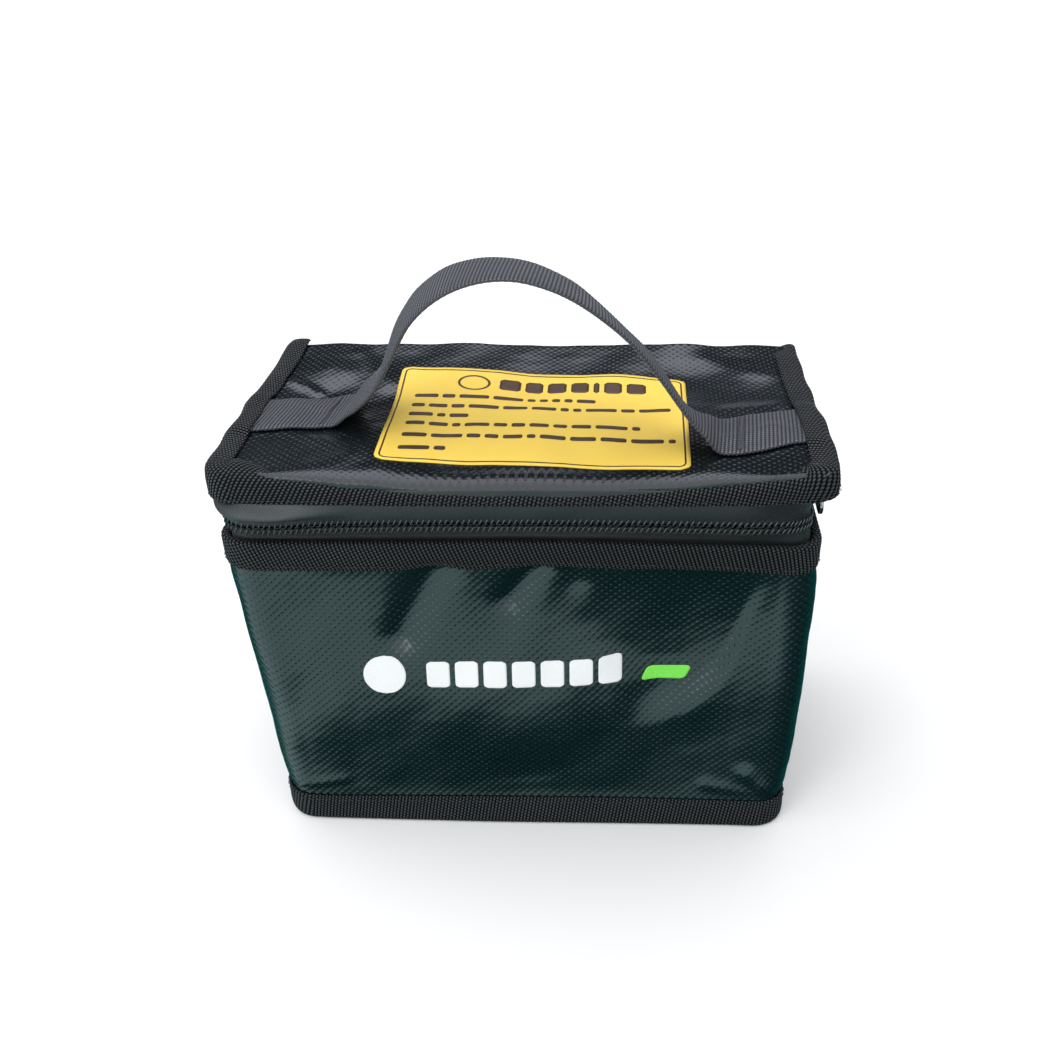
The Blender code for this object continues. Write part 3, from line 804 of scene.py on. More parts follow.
# Creases: start, end, width, depth; on the front in (x, z).
FRONT_TOP_CREASES = (
    ((-30, 122), (-46, 92), 7.0, -4.2), ((7, 122), (-4, 107), 5.5, -3.2),
    ((17, 123), (21, 114), 5.0, -1.8), ((10, 116), (2, 92), 7.0, 0.8),
)
FRONT_LOW_CREASES = (
    ((-102, 14), (-76, 21), 2.6, 0.6), ((-88, 12), (-64, 16), 2.2, 0.25),
    ((-98, 27), (-66, 40), 8.0, -0.3), ((102, 12), (88, 26), 3.6, 2.2),
    ((92, 13), (72, 19), 3.0, 0.9), ((100, 60), (70, 44), 10.0, -0.8),
    ((-20, 14), (10, 20), 4.0, 0.35),
)
SIDE_CREASES = (  # in (y, z)
    ((-38, 118), (0, 62), 11.0, 1.7), ((40, 120), (4, 62), 11.0, 1.4),
    ((-46, 16), (-14, 34), 6.0, 1.3), ((46, 14), (16, 30), 6.0, 1.1),
)
BACK_CREASES = (  # in (x, z)
    ((-96, 140), (-48, 92), 12.0, 1.6), ((94, 142), (52, 98), 12.0, 1.4),
    ((-92, 16), (-58, 36), 6.0, 1.3), ((90, 16), (60, 30), 6.0, 1.2),
)
# The extra fullness of each side wall: (z, out).
LEFT_BOW = (
    (8, 0), (21, 1.0), (36, 1.6), (51, 2.2), (66, 2.8), (81, 3.1), (96, 3.7), (111, 4.0),
    (121, 3.7), (134, 3.4),
)
RIGHT_BOW = (
    (8, 0), (21, 0.8), (28, 1.8), (51, 1.9), (66, 2.1), (81, 2.6), (96, 2.2), (111, 1.1),
    (121, 0.5), (134, 0.5),
)


def front_push(x, z):
    levels = [level for level, _ in FRONT_PUSH]
    total = 0.0
    for only_this, (_, knots) in zip(np.eye(len(levels)), FRONT_PUSH):
        total = total + curve(z, levels, only_this) * soft_line(x, knots)
    inner = smooth(12, 24, z) * smooth(128, 118, z)  # nothing under the two tapes
    free = smooth(12, 20, z) * smooth(124, 116, z)
    # the hollow sinks slowly from the mouth and comes out over its rim
    rim = curve(x, HOLLOW_RIM_X, HOLLOW_RIM_Z)
    left = line(z, HOLLOW_LEFT)
    sink = np.clip(121.5 - z, 0, 42)
    total = total - 0.1 * sink * smooth(-7, 9, z - rim) * smooth(left - 11, left + 11, x)
    total = total + creases(x, z, FRONT_TOP_CREASES) * inner
    total = total + creases(x, z, FRONT_LOW_CREASES) * free
    waves = 0.40 * ripple(x, z, LONG_WAVES) + 0.22 * ripple(x, z, MID_WAVES)
    return total + (waves + 0.035 * ripple(x, z, FINE_WAVES)) * inner


def side_push(y, z, side):
    shape = smooth(0, 40, z) * smooth(MOUTH_Z, 80, z)
    inner = smooth(10, 26, z) * smooth(128, 112, z)
    bow = sided_line(side, z, LEFT_BOW, RIGHT_BOW) * smooth(42, 2, y)  # most of it at the front
    total = 1.8 * shape * bump(y, 0, 45) + bow
    total = total - 3.2 * bump(z, 112, 26) * bump(y, 4, 30) * inner
    waves = 0.5 * ripple(y + 150 * side, z, LONG_WAVES) + 0.3 * ripple(y + 90 * side, z, MID_WAVES)
    waves = waves + 0.035 * ripple(y, z, FINE_WAVES)
    return total + (creases(y, z, SIDE_CREASES) + waves) * inner


def back_push(x, z):
    inner = smooth(12, 30, z) * smooth(158, 140, z)
    total = 2.4 * bump(z, 62, 42) * bump(x, 0, 80) - 2.2 * bump(z, 128, 18) * bump(x, -10, 60)
    waves = 0.6 * ripple(x + 300, z, LONG_WAVES) + 0.32 * ripple(x + 210, z, MID_WAVES)
    waves = waves + 0.035 * ripple(x + 60, z, FINE_WAVES)
    return (total + creases(x, z, BACK_CREASES) + waves) * inner


def push(x, y, out_x, out_y, z):
    """How far the cloth stands out of the plain outline, whichever wall it is on."""
    z = np.clip(z, 0, 170)
    front = np.clip(-out_y, 0, 1) ** 2 * front_push(x, np.minimum(z, MOUTH_Z))
    back = np.clip(out_y, 0, 1) ** 2 * back_push(x, z)
    side = out_x**2 * side_push(y, np.minimum(z, MOUTH_Z), np.sign(x))
    return front + back + side


def wall(run, z, out=0.0):
    """A point on the soft body, a distance out of the cloth's outer face."""
    x, y, out_x, out_y = BODY.at(run, z)
    out = out + push(x, y, out_x, out_y, z)
    return stack(x + out_x * out, y + out_y * out, z)


# ------------------------------------------------------------------ front and side wall
run = np.linspace(-BODY.side_to, BODY.side_to, 380)
z = np.concatenate([np.linspace(1.6, 12, 9)[:-1], np.linspace(12, 132.6, 128)])[:, None]
shell = closed_sheet(
    "front_and_side_wall_cloth", wall(run, z), CLOTH_THICK, CLOTH, stack(run, z), (0, -1, 0)
)
finish(shell, "coated_glass_cloth", "bag", "front_and_side_wall")

# ------------------------------------------------------------------ tapes round mouth and bottom
# Profiles: distance out of the wall, z.
MOUTH_PROFILE = [
    (0.75, 121.5), (1.25, 124.5), (1.3, 129.5), (1.15, 132.7), (0.2, 133.5), (-1.2, 133.4),
    (-1.95, 132.5), (-2.0, 123.9), (-1.6, 123.5), (-1.2, 124.0), (-1.1, 131.7), (-0.5, 132.5),
    (0.2, 132.0), (0.3, 125.0), (0.3, 121.7),
]
BOTTOM_PROFILE = [
    (0.55, 11.8), (1.15, 11.3), (1.45, 8.5), (1.75, 3.0), (1.35, 0.75), (0.0, 0.12),
    (-3.5, 0.10), (-8.3, 0.12), (-8.6, 0.55), (-7.5, 0.85), (-1.5, 0.95), (0.35, 1.2),
    (0.7, 3.0), (0.55, 8.0), (0.3, 11.5),
]
MOUTH_END = BODY.side_from + (HALF_D_TOP - 10.0 + HALF_D_TOP - CORNER_R)


def wall_tape(name, profile, run, step, **ribs):
    """Tape whose profile is carried along the wall."""
    loop = loop_through(profile, loop_counts(profile, step))
    points = wall(run[:, None], loop[:, 1], loop[:, 0])
    return band(name, points, run, path_lengths(loop), TAPE, **ribs)


run = np.linspace(-MOUTH_END, MOUTH_END, int(2 * MOUTH_END / RIB * 4.6))
mouth = wall_tape("mouth_binding_tape", MOUTH_PROFILE, run, step=0.42, slant=0.29, height=0.26)
finish(mouth, "binding_tape", "bag", "mouth_binding")

run = np.linspace(-BODY.end, BODY.end, int(2 * BODY.end / RIB * 4.4) + 1)[:-1]
bottom = wall_tape(
    "bottom_binding_tape", BOTTOM_PROFILE, run, step=0.46, slant=0.2, height=0.24, wrap_rows=True
)
finish(bottom, "binding_tape", "bag", "bottom_binding")

for name, out, z, end in (
    ("mouth_binding_stitches", 1.35, 123.6, MOUTH_END - 1),
    ("bottom_binding_stitches", 1.5, 10.2, BODY.back_from - 4),
):
    run = np.linspace(-end, end, 1200)
    _, _, out_x, out_y = BODY.at(run, z)
    stitches(name, wall(run, z, out), stack(out_x, out_y, 0.0), "bag")

# ------------------------------------------------------------------ upright back seams
# An L of tape that follows both cloths: (inset from the side face, distance out of the back).
SEAM_PROFILE = [
    (9.2, 0.45), (8.9, 0.75), (4.0, 1.05), (-0.6, 1.15), (-1.3, 0.6), (-1.15, -0.6),
    (-1.05, -4.0), (-0.75, -8.9), (-0.4, -9.2), (-0.25, -8.6), (-0.3, -4.0), (-0.35, -0.4),
    (0.0, 0.3), (1.0, 0.38), (8.6, 0.25),
]


def back_seam(side, sign):
    run = np.linspace(11.6, 149.0, int(137 / RIB * 4.4))
    z = run[:, None]
    loop = loop_through(SEAM_PROFILE, loop_counts(SEAM_PROFILE, 0.5))
    inset, out = loop.T
    # pressed flat where a zip pull lies over it
    inset = inset + 0.4 * smooth(-0.45, -1.2, inset) * smooth(118, 130, z)
    back = back_push(sign * (half_w(z) - np.maximum(inset, 0)), np.minimum(z, 158))
    flank = side_push(half_d(z) + np.minimum(out, 0), np.minimum(z, MOUTH_Z), sign)
    x = sign * (half_w(z) - inset + flank * smooth(1.0, -6.0, out))
    y = half_d(z) + out + back * smooth(-1.0, 6.0, inset)
    seam = band(
        f"back_{side}_seam_tape", stack(x, y, z), run, path_lengths(loop), TAPE,
        slant=0.1, height=0.22,
    )
    finish(seam, "binding_tape", "bag", f"back_{side}_seam_binding")

    z = np.linspace(13, 148, 300)
    name = f"back_{side}_seam_stitches_"
    x = sign * (half_w(z) - 7.4)
    stitches(name + "a", stack(x, half_d(z) + 1.1 + back_push(x, z), z), (0, 1.0, 0), "bag")
    x = sign * (half_w(z) + 1.05 - 0.35 * smooth(118, 130, z))
    stitches(name + "b", stack(x, half_d(z) - 7.4, z), (sign, 0, 0), "bag")


back_seam("left", -1)
back_seam("right", 1)

# ------------------------------------------------------------------ floor, liner and insulation
TUB_RUN = np.linspace(-BODY.end, BODY.end, 421)[:-1]


def tub(levels, out=0.0):
    """Rows round the outline, each from (share of the full plan, z, distance out)."""
    rows = []
    for share, z, level_out in levels:
        row = wall(TUB_RUN, z, out + level_out)
        row[:, :2] *= share
        rows.append(row)
    return np.array(rows)


def bottom_panel():
    """It lies flat in the middle and rises onto the seam tape at its edge."""
    levels = [(share, 0.72, -2.4) for share in (0.03, 0.15, 0.3, 0.45, 0.6, 0.72, 0.8, 0.86)]
    levels += [
        (1.0, 0.85, -12.0), (1.0, 1.2, -10.6), (1.0, 1.5, -9.2), (1.0, 1.58, -6.0),
        (1.0, 1.62, -3.0), (1.0, 1.65, -1.2),
    ]
    points = tub(levels)
    x, y = points[:8, :, 0], points[:8, :, 1]
    inside = np.clip(1.0 - np.abs(x) / 96, 0, 1) * np.clip(1.0 - np.abs(y) / 48, 0, 1)
    points[:8, :, 2] += 0.35 * np.abs(ripple(x, y, MID_WAVES)) * smooth(0, 0.3, inside)
    panel = closed_sheet(
        "bottom_panel_cloth", points, 0.6, CLOTH, points[..., :2], (0, 0, -1),
        wrap_cols=True, centre=True,
    )
    finish(panel, "coated_glass_cloth", "bag", "bottom_panel")


def inner_liner():
    """One soft tub, its top edge turned in under the zip tape."""
    shares = (0.03, 0.12, 0.25, 0.38, 0.5, 0.62, 0.74, 0.84, 0.92, 0.97)
    levels = [(share, 5.0, 0.0) for share in shares]
    levels += [(1.0, 5.2, -0.9), (1.0, 6.4, -0.15), (1.0, 9.0, 0.0)]
    levels += [(1.0, z, 0.0) for z in np.linspace(13, 128, 44)]
    levels += [(1.0, 130.4, 0.15), (1.0, 131.7, 0.7), (1.0, 131.5, 1.2)]
    points = tub(levels, out=-6.5)
    _, _, out_x, out_y = BODY.at(TUB_RUN, 60)
    z = points[..., 2]
    soft = ripple(TUB_RUN[None, :], z, MID_WAVES) * 0.45 * smooth(9, 30, z) * smooth(131, 112, z)
    points[..., 0] -= out_x * np.abs(soft)
    points[..., 1] -= out_y * np.abs(soft)
    floor = points[: len(shares)]
    floor[..., 2] += 0.55 + 0.5 * ripple(floor[..., 0], floor[..., 1], MID_WAVES)
    uv = stack(TUB_RUN, z)
    uv[: len(shares)] = floor[..., :2]
    liner = closed_sheet(
        "inner_liner_cloth", points, LINER_THICK, LINER, uv, (0, 1, 0), wrap_cols=True, centre=True
    )
    finish(liner, "liner_cloth", "bag", "inner_liner")


def wall_insulation():
    """A quilted ring behind the liner."""
    run = np.linspace(-BODY.end, BODY.end, 361)[:-1]
    z = np.linspace(4.4, 131.0, 70)[:, None]
    puff = 0.35 * np.abs(np.sin(math.pi * run / 28.5)) + 0.1 * ripple(run, z, FINE_WAVES)
    edge = smooth(4.4, 8, z) * smooth(131, 127, z)
    points = wall(run, z, -3.7 + (puff - 0.35) * edge)
    ring = closed_sheet(
        "wall_insulation_felt", points, FELT_THICK, FELT, stack(run, z), (0, -1, 0), wrap_cols=True
    )
    finish(ring, "glass_fibre_felt", "bag", "wall_insulation")


def floor_insulation():
    shares = (0.03, 0.15, 0.3, 0.45, 0.6, 0.75, 0.88, 0.95, 1.0)
    levels = [(share, 4.2, -6.5) for share in shares] + [(1.0, 3.9, -6.1), (1.0, 3.3, -6.0)]
    points = tub(levels)
    flat = points[: len(shares)]
    flat[..., 2] += 0.25 * ripple(flat[..., 0], flat[..., 1], MID_WAVES)
    pad = closed_sheet(
        "floor_insulation_felt", points, 1.2, FELT, points[..., :2], (0, 0, 1),
        wrap_cols=True, centre=True,
    )
    finish(pad, "glass_fibre_felt", "bag", "floor_insulation")


bottom_panel()
inner_liner()
wall_insulation()
floor_insulation()

# ------------------------------------------------------------------ zip
ZIP_END = BODY.side_from + ZIP_END_Y + HALF_D_TOP - CORNER_R
COIL_PITCH = 2.05
# Across each tape, from its low edge up: side out, side z, front out, front z, and the share by
# which the front stands on the soft cloth; by the rest it moves with the lid's edge.
ZIP_TAPES = {
    "lower": (
        (-2.85, 123.0, -3.0, 123.0, 1.0), (-2.85, 129.0, -3.0, 129.0, 1.0),
        (-2.85, 133.6, -2.9, 133.4, 0.9), (-2.85, 136.6, -1.4, 136.0, 0.25),
        (-2.85, 139.6, 0.1, 139.4, 0.0),
    ),
    "upper": (
        (-2.85, 141.4, 0.5, 141.6, 0.0), (-2.85, 145.0, 1.2, 144.6, 0.0),
        (-1.5, 149.0, 1.5, 147.6, 0.0), (0.3, 153.0, 1.35, 151.4, 0.0),
        (0.75, 160.6, 0.9, 154.8, 0.0),
    ),
}
ZIP_BODIES = {"lower": "bag", "upper": "lid"}
# How far the lid's side edges stand out beyond the plain outline: (y, out).
LID_LEFT_BOW = ((-57, 1.4), (-45, 1.9), (-20, 2.5), (0, 3.4), (20, 2.2), (57, 1.0))
LID_RIGHT_BOW = ((-57, 2.0), (-45, 3.6), (-20, 3.4), (0, 2.4), (20, 1.0), (57, -0.1))
# How far the lid's front edge hangs out, more on the left than on the right: (x, out).
LID_SHIFT = (
    (-107, 0.2), (-60, 0.5), (-20, 0.2), (32, -0.7), (60, -1.2), (89, -1.8), (107, -1.2),
)


def lid_bow(side, y):
    return sided_line(side, y, LID_LEFT_BOW, LID_RIGHT_BOW)


def zip_surface(half, run, across):
    """Point on a zip tape, across from 0 at its low edge to 1 at its high edge."""
    x, y, out_x, out_y = BODY.at(run, MOUTH_Z)
    # 1 across the middle of the front, 0 at its corners and on the sides
    share = smooth(-30, -52, y) * smooth(106, 78, np.abs(x))
    places = np.linspace(0, 1, 5)
    side_out, side_z, front_out, front_z, hold = (
        curve(across, places, column) for column in np.array(ZIP_TAPES[half]).T
    )
    body_push = push(x, y, out_x, out_y, np.minimum(front_z, MOUTH_Z))
    edge_push = line(x, LID_SHIFT) * np.clip(-out_y, 0, 1) ** 2
    out = side_out * (1 - share) + front_out * share + body_push * hold + edge_push * (1 - hold)
    rise = 2.0 * share * np.clip(1 - ((x - 5) / 105) ** 2, 0, 1)
    z = side_z * (1 - share) + front_z * share + rise * (1 - hold)
    upper = half == "upper"
    under = smooth(0.8, 0.45, across) if upper else 1.0  # the top stays behind the lid's binding
    soft = 0.12 * ripple(run, across * 20, MID_WAVES) * np.sin(np.clip(across, 0, 1) * math.pi)
    out = out + soft + (1 - hold) * 4.2 * bump(run, -112, 28) * under  # full at the left corner
    if upper:
        out = out + lid_bow(np.sign(x), y) * out_x**2 * smooth(0.3, 0.9, across)
        out = out + 4.4 * bump(run, -92, 20) * bump(across, 0.36, 0.22)
    return stack(x + out_x * out, y + out_y * out, z)


def zip_tape(half):
    run = np.linspace(-ZIP_END, ZIP_END, 430)
    across = np.linspace(0, 1, 26)[:, None]
    tape = closed_sheet(
        f"{half}_zip_tape_cloth", zip_surface(half, run, across), 0.3, ZIP_CLOTH,
        stack(run, across * 17), (0, -1, 0),
    )
    finish(tape, "zip_tape", ZIP_BODIES[half], f"{half}_zip_tape")


def zip_coil(half, edge, sign):
    """One slanted stroke per tooth along an edge of the tape, and two rows of thread. sign is
    the way from the tape's edge to its coil, up or down."""
    body = ZIP_BODIES[half]
    run = np.arange(-ZIP_END + 1, ZIP_END - 1, COIL_PITCH)
    run = run + (0.5 * COIL_PITCH if half == "upper" else 0.0)
    base = zip_surface(half, run, edge)
    _, _, out_x, out_y = BODY.at(run, MOUTH_Z)
    normal = stack(out_x, out_y, 0.0)
    tangent = zip_surface(half, run + 1.0, edge) - base
    tangent /= np.linalg.norm(tangent, axis=1, keepdims=True)
    rise = np.cross(tangent, normal)
    rise *= np.sign(rise[:, 2:])
    wobble = np.random.default_rng(21).normal(0, 1, (len(run), 3))
    centre = base + normal * 0.55 + rise * (0.5 * sign + 0.02 * wobble[:, :1])
    axis = rise + tangent * (0.55 + 0.03 * wobble[:, 1:2])
    teeth = capsules(f"{half}_zip_coil_teeth", centre, axis, normal, 1.3, 0.42, COIL)
    finish(teeth, "zip_coil", body, f"{half}_zip_coil")
    for k, off in enumerate((-1.15, 1.15)):
        row = base + normal * 0.16 + rise * (0.5 * sign + off)
        name = f"{body}_coil_stitches_{k}"
        stitches(name, row, normal, body, pitch=2.6, length=2.1, radius=0.2)


def zip_end_patch(side, sign):
    """A small folded patch over an end of the lower tape."""
    y = np.linspace(42.4, 46.1, 14)
    z = np.linspace(133.9, 140.1, 22)[:, None]
    lift = 1.15 - 0.5 * ((y - 44.25) / 1.9) ** 4 - 0.35 * ((z - 137) / 3.2) ** 6
    patch = closed_sheet(
        f"{side}_zip_end_patch_cloth", stack(sign * (HALF_W_TOP - 0.3 + lift), y, z), 0.45,
        ZIP_CLOTH, stack(y, z), (sign, 0, 0),
    )
    finish(patch, "zip_tape", "bag", f"{side}_zip_end_patch")


zip_tape("lower")
zip_tape("upper")
zip_coil("lower", edge=1.0, sign=-1)
zip_coil("upper", edge=0.0, sign=1)
zip_end_patch("left", -1)
zip_end_patch("right", 1)

# ------------------------------------------------------------------ lid and back: one cloth
# Height of the lid above its plain level: x, y, height.
LID_HEIGHTS = [
    (-107, -57, 1.4), (-107, -25, 1.6), (-107, 5, 2.2), (-107, 30, 3.2), (-106, 55, 5.4),
    (107, -57, 0.6), (107, -20, 0.5), (107, 15, 0.6), (107, 55, 3.0),
    (-90, -54, 0.4), (-60, -54, -1.1), (-30, -53, -2.9), (5, -53, -3.4), (40, -53, -3.0),
    (65, -53, -1.8), (90, -54, -0.6),
    (5, -44, -1.3), (5, -30, -0.3), (5, -8, -0.4), (5, 15, -1.4), (5, 38, 1.3),
    (-26, 35, 2.7), (62, 32, -0.4), (61, -42, -1.3), (-45, -42, -0.8), (-50, 10, -0.2),
    (-48, 33, 2.0),
    (-98, 38, 3.0), (-87, 33, 3.6), (-76, 28, 2.9), (-81, 16, -0.8), (-90, -8, 0.2),
    (-80, -35, -0.2),
    (62, 0, -0.4), (40, 10, -0.8), (86, 28, 1.6), (88, 8, -0.4), (86, -20, 0.4), (84, -40, -0.6),
    (-96, 54, 5.8), (-60, 54, 5.5), (-16, 54, 5.2), (35, 54, 4.6), (69, 54, 4.4), (98, 54, 3.9),
    (35, 42, 3.0), (60, 44, 2.7), (-70, 44, 3.4), (84, 42, 2.1), (5, 46, 2.6),
]
LID_CREASES = (
    ((-74, 46), (-58, 20), 4.5, 0.8), ((-66, -50), (-52, -20), 6.0, 0.5),
    ((70, 42), (94, 28), 5.5, 0.5), ((70, -34), (92, -22), 4.0, 0.9),
    ((-104, 24), (-86, 14), 3.0, 0.8), ((76, -2), (96, 2), 4.0, 0.5),
    ((-92, 2), (-76, -4), 4.0, 0.6), ((-88, -22), (-70, -32), 4.5, 0.5),
)
lid_height = thin_plate(LID_HEIGHTS)


def lid_dz(x, y):
    """Height of the lid's cloth above its plain level."""
    extra = creases(x, y, LID_CREASES)
    extra = extra + 0.22 * ripple(x, y, MID_WAVES) + 0.03 * ripple(x, y, FINE_WAVES)
    return lid_height(x, y) + extra * smooth(107, 98, np.abs(x))


def corner_cut(radius, into):
    """How far a round corner has come in, for the share into its radius."""
    return radius * (1 - np.sqrt(1 - into**2))


def lid_x(span, y):
    """x on the lid's cloth for a span of -1 to 1: its front corners are round."""
    into = np.clip((-HALF_D_TOP + LID_CORNER_R - y) / LID_CORNER_R, 0, 0.995)
    bow = lid_bow(span, y) * smooth(52, 30, y)
    return span * (HALF_W_TOP + 0.3 + bow - corner_cut(LID_CORNER_R, into))


def lid_and_back():
    """Rows from the low front edge over the lid, round the fold and down the back."""
    fold_radius, skirt_z, back_end_z = 3.0, 152.4, 1.9
    span = np.linspace(-1, 1, 240)
    x_plain = span * HALF_W_TOP
    crown = np.clip(1 - (x_plain / 88) ** 2, 0, 1)
    roll = 1.6 + 10.4 * crown  # how far back the roll over the front edge reaches
    drop = 1.6 + 3.4 * crown  # and how far down
    y_skirt = -HALF_D_TOP - 0.35 - line(x_plain, LID_SHIFT)
    y_least = -HALF_D_TOP + 0.6
    x_front = lid_x(span, y_least)
    top = LID_Z + lid_dz(x_front, y_skirt + roll)
    rows = []
    for share in np.linspace(0, 1, 6)[:-1]:
        z = skirt_z + (top - drop - skirt_z) * share
        rows.append(stack(x_front, y_skirt + 0.35 * (1 - share), z))
    for share in np.linspace(0, 1, 12):
        angle = share * math.pi / 2
        y = y_skirt + roll * (1 - math.cos(angle))
        x = lid_x(span, np.maximum(y, y_least))
        z = LID_Z + lid_dz(x, y_skirt + roll) - drop * (1 - math.sin(angle))
        rows.append(stack(x, y, z))
    y_from, y_to = rows[-1][:, 1], HALF_D_TOP - fold_radius
    for share in np.linspace(0, 1, 116)[1:]:
        y = y_from + (y_to - y_from) * share
        x = lid_x(span, y)
        rows.append(stack(x, y, LID_Z + lid_dz(x, y)))
    edge_z = LID_Z + lid_dz(x_plain, y_to)
    for share in np.linspace(0, 1, 12)[1:]:
        angle = share * math.pi / 2
        x = span * (HALF_W_TOP + 0.3 * (1 - share))
        z = edge_z - fold_radius * (1 - math.cos(angle))
        rows.append(stack(x, y_to + fold_radius * math.sin(angle), z))
    for share in np.linspace(0, 1, 150)[1:]:
        z = (edge_z - fold_radius) * (1 - share) + back_end_z * share
        x = span * half_w(z)
        rows.append(stack(x, half_d(z) + back_push(x, z), z))
    points = np.array(rows)
    uv = stack(x_plain, path_lengths(points[:, 120])[:, None])
    cloth = closed_sheet("lid_and_back_cloth", points, CLOTH_THICK, SHADED_LID_CLOTH, uv, (0, 1, 1))
    finish(cloth, "coated_glass_cloth", None, "lid_panel", "back_panel")
    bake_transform(cloth)


lid_and_back()

# ------------------------------------------------------------------ binding of the lid
# Profiles (distance out, z): over the side edges, and a narrower face along the sagging front.
SIDE_PROFILE = [
    (-8.2, 162.55), (-7.9, 163.2), (-4.2, 163.75), (-0.9, 163.2), (1.5, 161.4), (2.3, 158.0),
    (2.4, 154.5), (2.2, 151.4), (1.75, 151.1), (1.45, 151.9), (1.5, 156.5), (1.1, 160.0),
    (-0.8, 162.3), (-4.2, 162.85),
]
FRONT_PROFILE = [
    (0.1, 153.0), (0.2, 153.8), (0.7, 154.4), (1.4, 154.3), (2.05, 153.8), (2.45, 153.1),
    (2.6, 152.3), (2.4, 151.2), (1.95, 150.8), (1.65, 151.2), (1.75, 151.8), (1.5, 152.3),
    (1.0, 152.7), (0.5, 152.9),
]


def corner_rise(x, y):
    """The binding's lower edge is a little higher round the right front corner."""
    return 1.3 * smooth(80, 102, x) * smooth(-25, -45, y)


def lid_binding():
    counts = loop_counts(SIDE_PROFILE, 0.45)
    side_loop, front_loop = (loop_through(p, counts) for p in (SIDE_PROFILE, FRONT_PROFILE))
    end = LID.side_to - 0.3
    run = np.linspace(-end, end, int(2 * end / RIB * 4.6))
    x, y, out_x, out_y = LID.at(run[:, None], LID_Z)
    sag = np.where(np.abs(out_y) > 0.5, np.clip(1 - ((x - 5) / 103) ** 2, 0, 1), 0)
    sag = sag * smooth(106.5, 98, np.abs(x))

    def blend(side, front):
        return side * (1 - sag) + front * sag

    out = blend(side_loop[:, 0], front_loop[:, 0])
    z = blend(side_loop[:, 1], front_loop[:, 1])
    z = z + corner_rise(x, y) * smooth(157, 151, z)
    edge = lid_dz(np.clip(x, -106, 106), np.clip(y, -53, 54))
    inside = lid_dz(np.clip(x - out_x * 6, -106, 106), np.clip(y - out_y * 6, -54, 54))
    leg = smooth(0.5, -7.0, out)
    lift = (edge * (1 - leg) + inside * leg) * smooth(150, 162, z) * (1 - sag)
    tip = np.where(x < 0, 0.4, -3.0) * smooth(40, 57, y)
    tip = tip * smooth(155, 162, z) * smooth(1.0, -6.0, out)
    for sign, end_y in ((-1, GRIP_Y + 4), (1, GRIP_Y - 2)):  # over the ends of the strap
        on_side = (np.sign(out_x) == sign) * (np.abs(out_x) > 0.5)
        over = smooth(21, 14, np.abs(y - end_y)) * on_side
        tip = tip + 1.1 * over * smooth(1.0, -2.0, out) * smooth(158, 162, z)
    wave = 0.28 * ripple(run[:, None], 0.0, MID_WAVES)
    front = np.clip(-out_y, 0, 1)
    off = out + line(x, LID_SHIFT) * front**2 + wave * smooth(-4, 1, out)
    bowed = x + np.sign(x) * out_x**2 * lid_bow(x, y)
    points = stack(bowed + out_x * off, y + out_y * off, z + lift + tip + 0.3 * wave)
    slant = 0.24 + 0.30 * smooth(-20, -100, x) * front
    around = blend(path_lengths(side_loop), path_lengths(front_loop))
    tape = band("lid_binding_tape", points, run, around, TAPE, slant=slant, height=0.26)
    finish(tape, "binding_tape", "lid", "lid_binding")


def lid_binding_stitches():
    """Along the inner edge of the top leg on the two sides, and round the lower edge."""
    for side, sign in (("left", -1), ("right", 1)):
        y = np.linspace(-48, 54, 400)
        x = sign * (HALF_W_TOP - 6.6 + lid_bow(sign, y))
        row = stack(x, y, LID_Z + lid_dz(x, y) + 1.45)
        stitches(f"lid_binding_{side}_stitches", row, (0, 0, 1.0), "lid")
    end = LID.side_to - 4
    x, y, out_x, out_y = LID.at(np.linspace(-end, end, 1200), LID_Z)
    out = 2.5 + line(x, LID_SHIFT) * np.clip(-out_y, 0, 1) ** 2
    x = x + np.sign(x) * out_x**2 * lid_bow(x, y)
    row = stack(x + out_x * out, y + out_y * out, 152.6 + corner_rise(x, y))
    stitches("lid_binding_lower_stitches", row, stack(out_x, out_y, 0.0), "lid")


def lid_layer(inset, below, is_liner):
    """Grid of points and UVs for a layer under the lid's cloth."""
    span = np.linspace(-1, 1, 130)
    share = np.linspace(0, 1, 80)[:, None]
    front = HALF_D_TOP - inset - 1.5
    y = -front + share * (front + HALF_D_TOP - 6.5)
    radius = 4.0
    into = np.clip((-front + radius - y) / radius, 0, 1)
    x = span * (HALF_W_TOP - inset - corner_cut(radius, into))
    z = LID_Z + lid_dz(x, y) - below
    if is_liner:  # quilted and rippled, but flat and turned up at its rim
        quilt = (np.abs(np.sin(math.pi * x / 34)) * np.abs(np.sin(math.pi * y / 34))) ** 0.5
        rim = smooth(1.0, 0.965, np.abs(span)) * smooth(0, 0.05, share) * smooth(1, 0.95, share)
        z = z - (0.35 * quilt + 0.25 * ripple(x, y, MID_WAVES)) * rim + (1.0 - rim) * 0.8
    return stack(x, y, z), stack(x, y)


lid_binding()
lid_binding_stitches()

points, uv = lid_layer(inset=4.6, below=2.0, is_liner=False)
lid_felt = closed_sheet("lid_insulation_felt", points, FELT_THICK, FELT, uv, (0, 0, 1))
finish(lid_felt, "glass_fibre_felt", "lid", "lid_insulation")
points, uv = lid_layer(inset=4.3, below=4.2, is_liner=True)
lid_lining = closed_sheet("lid_liner_cloth", points, -LINER_THICK, LINER, uv, (0, 0, 1))
finish(lid_lining, "liner_cloth", "lid", "lid_liner")


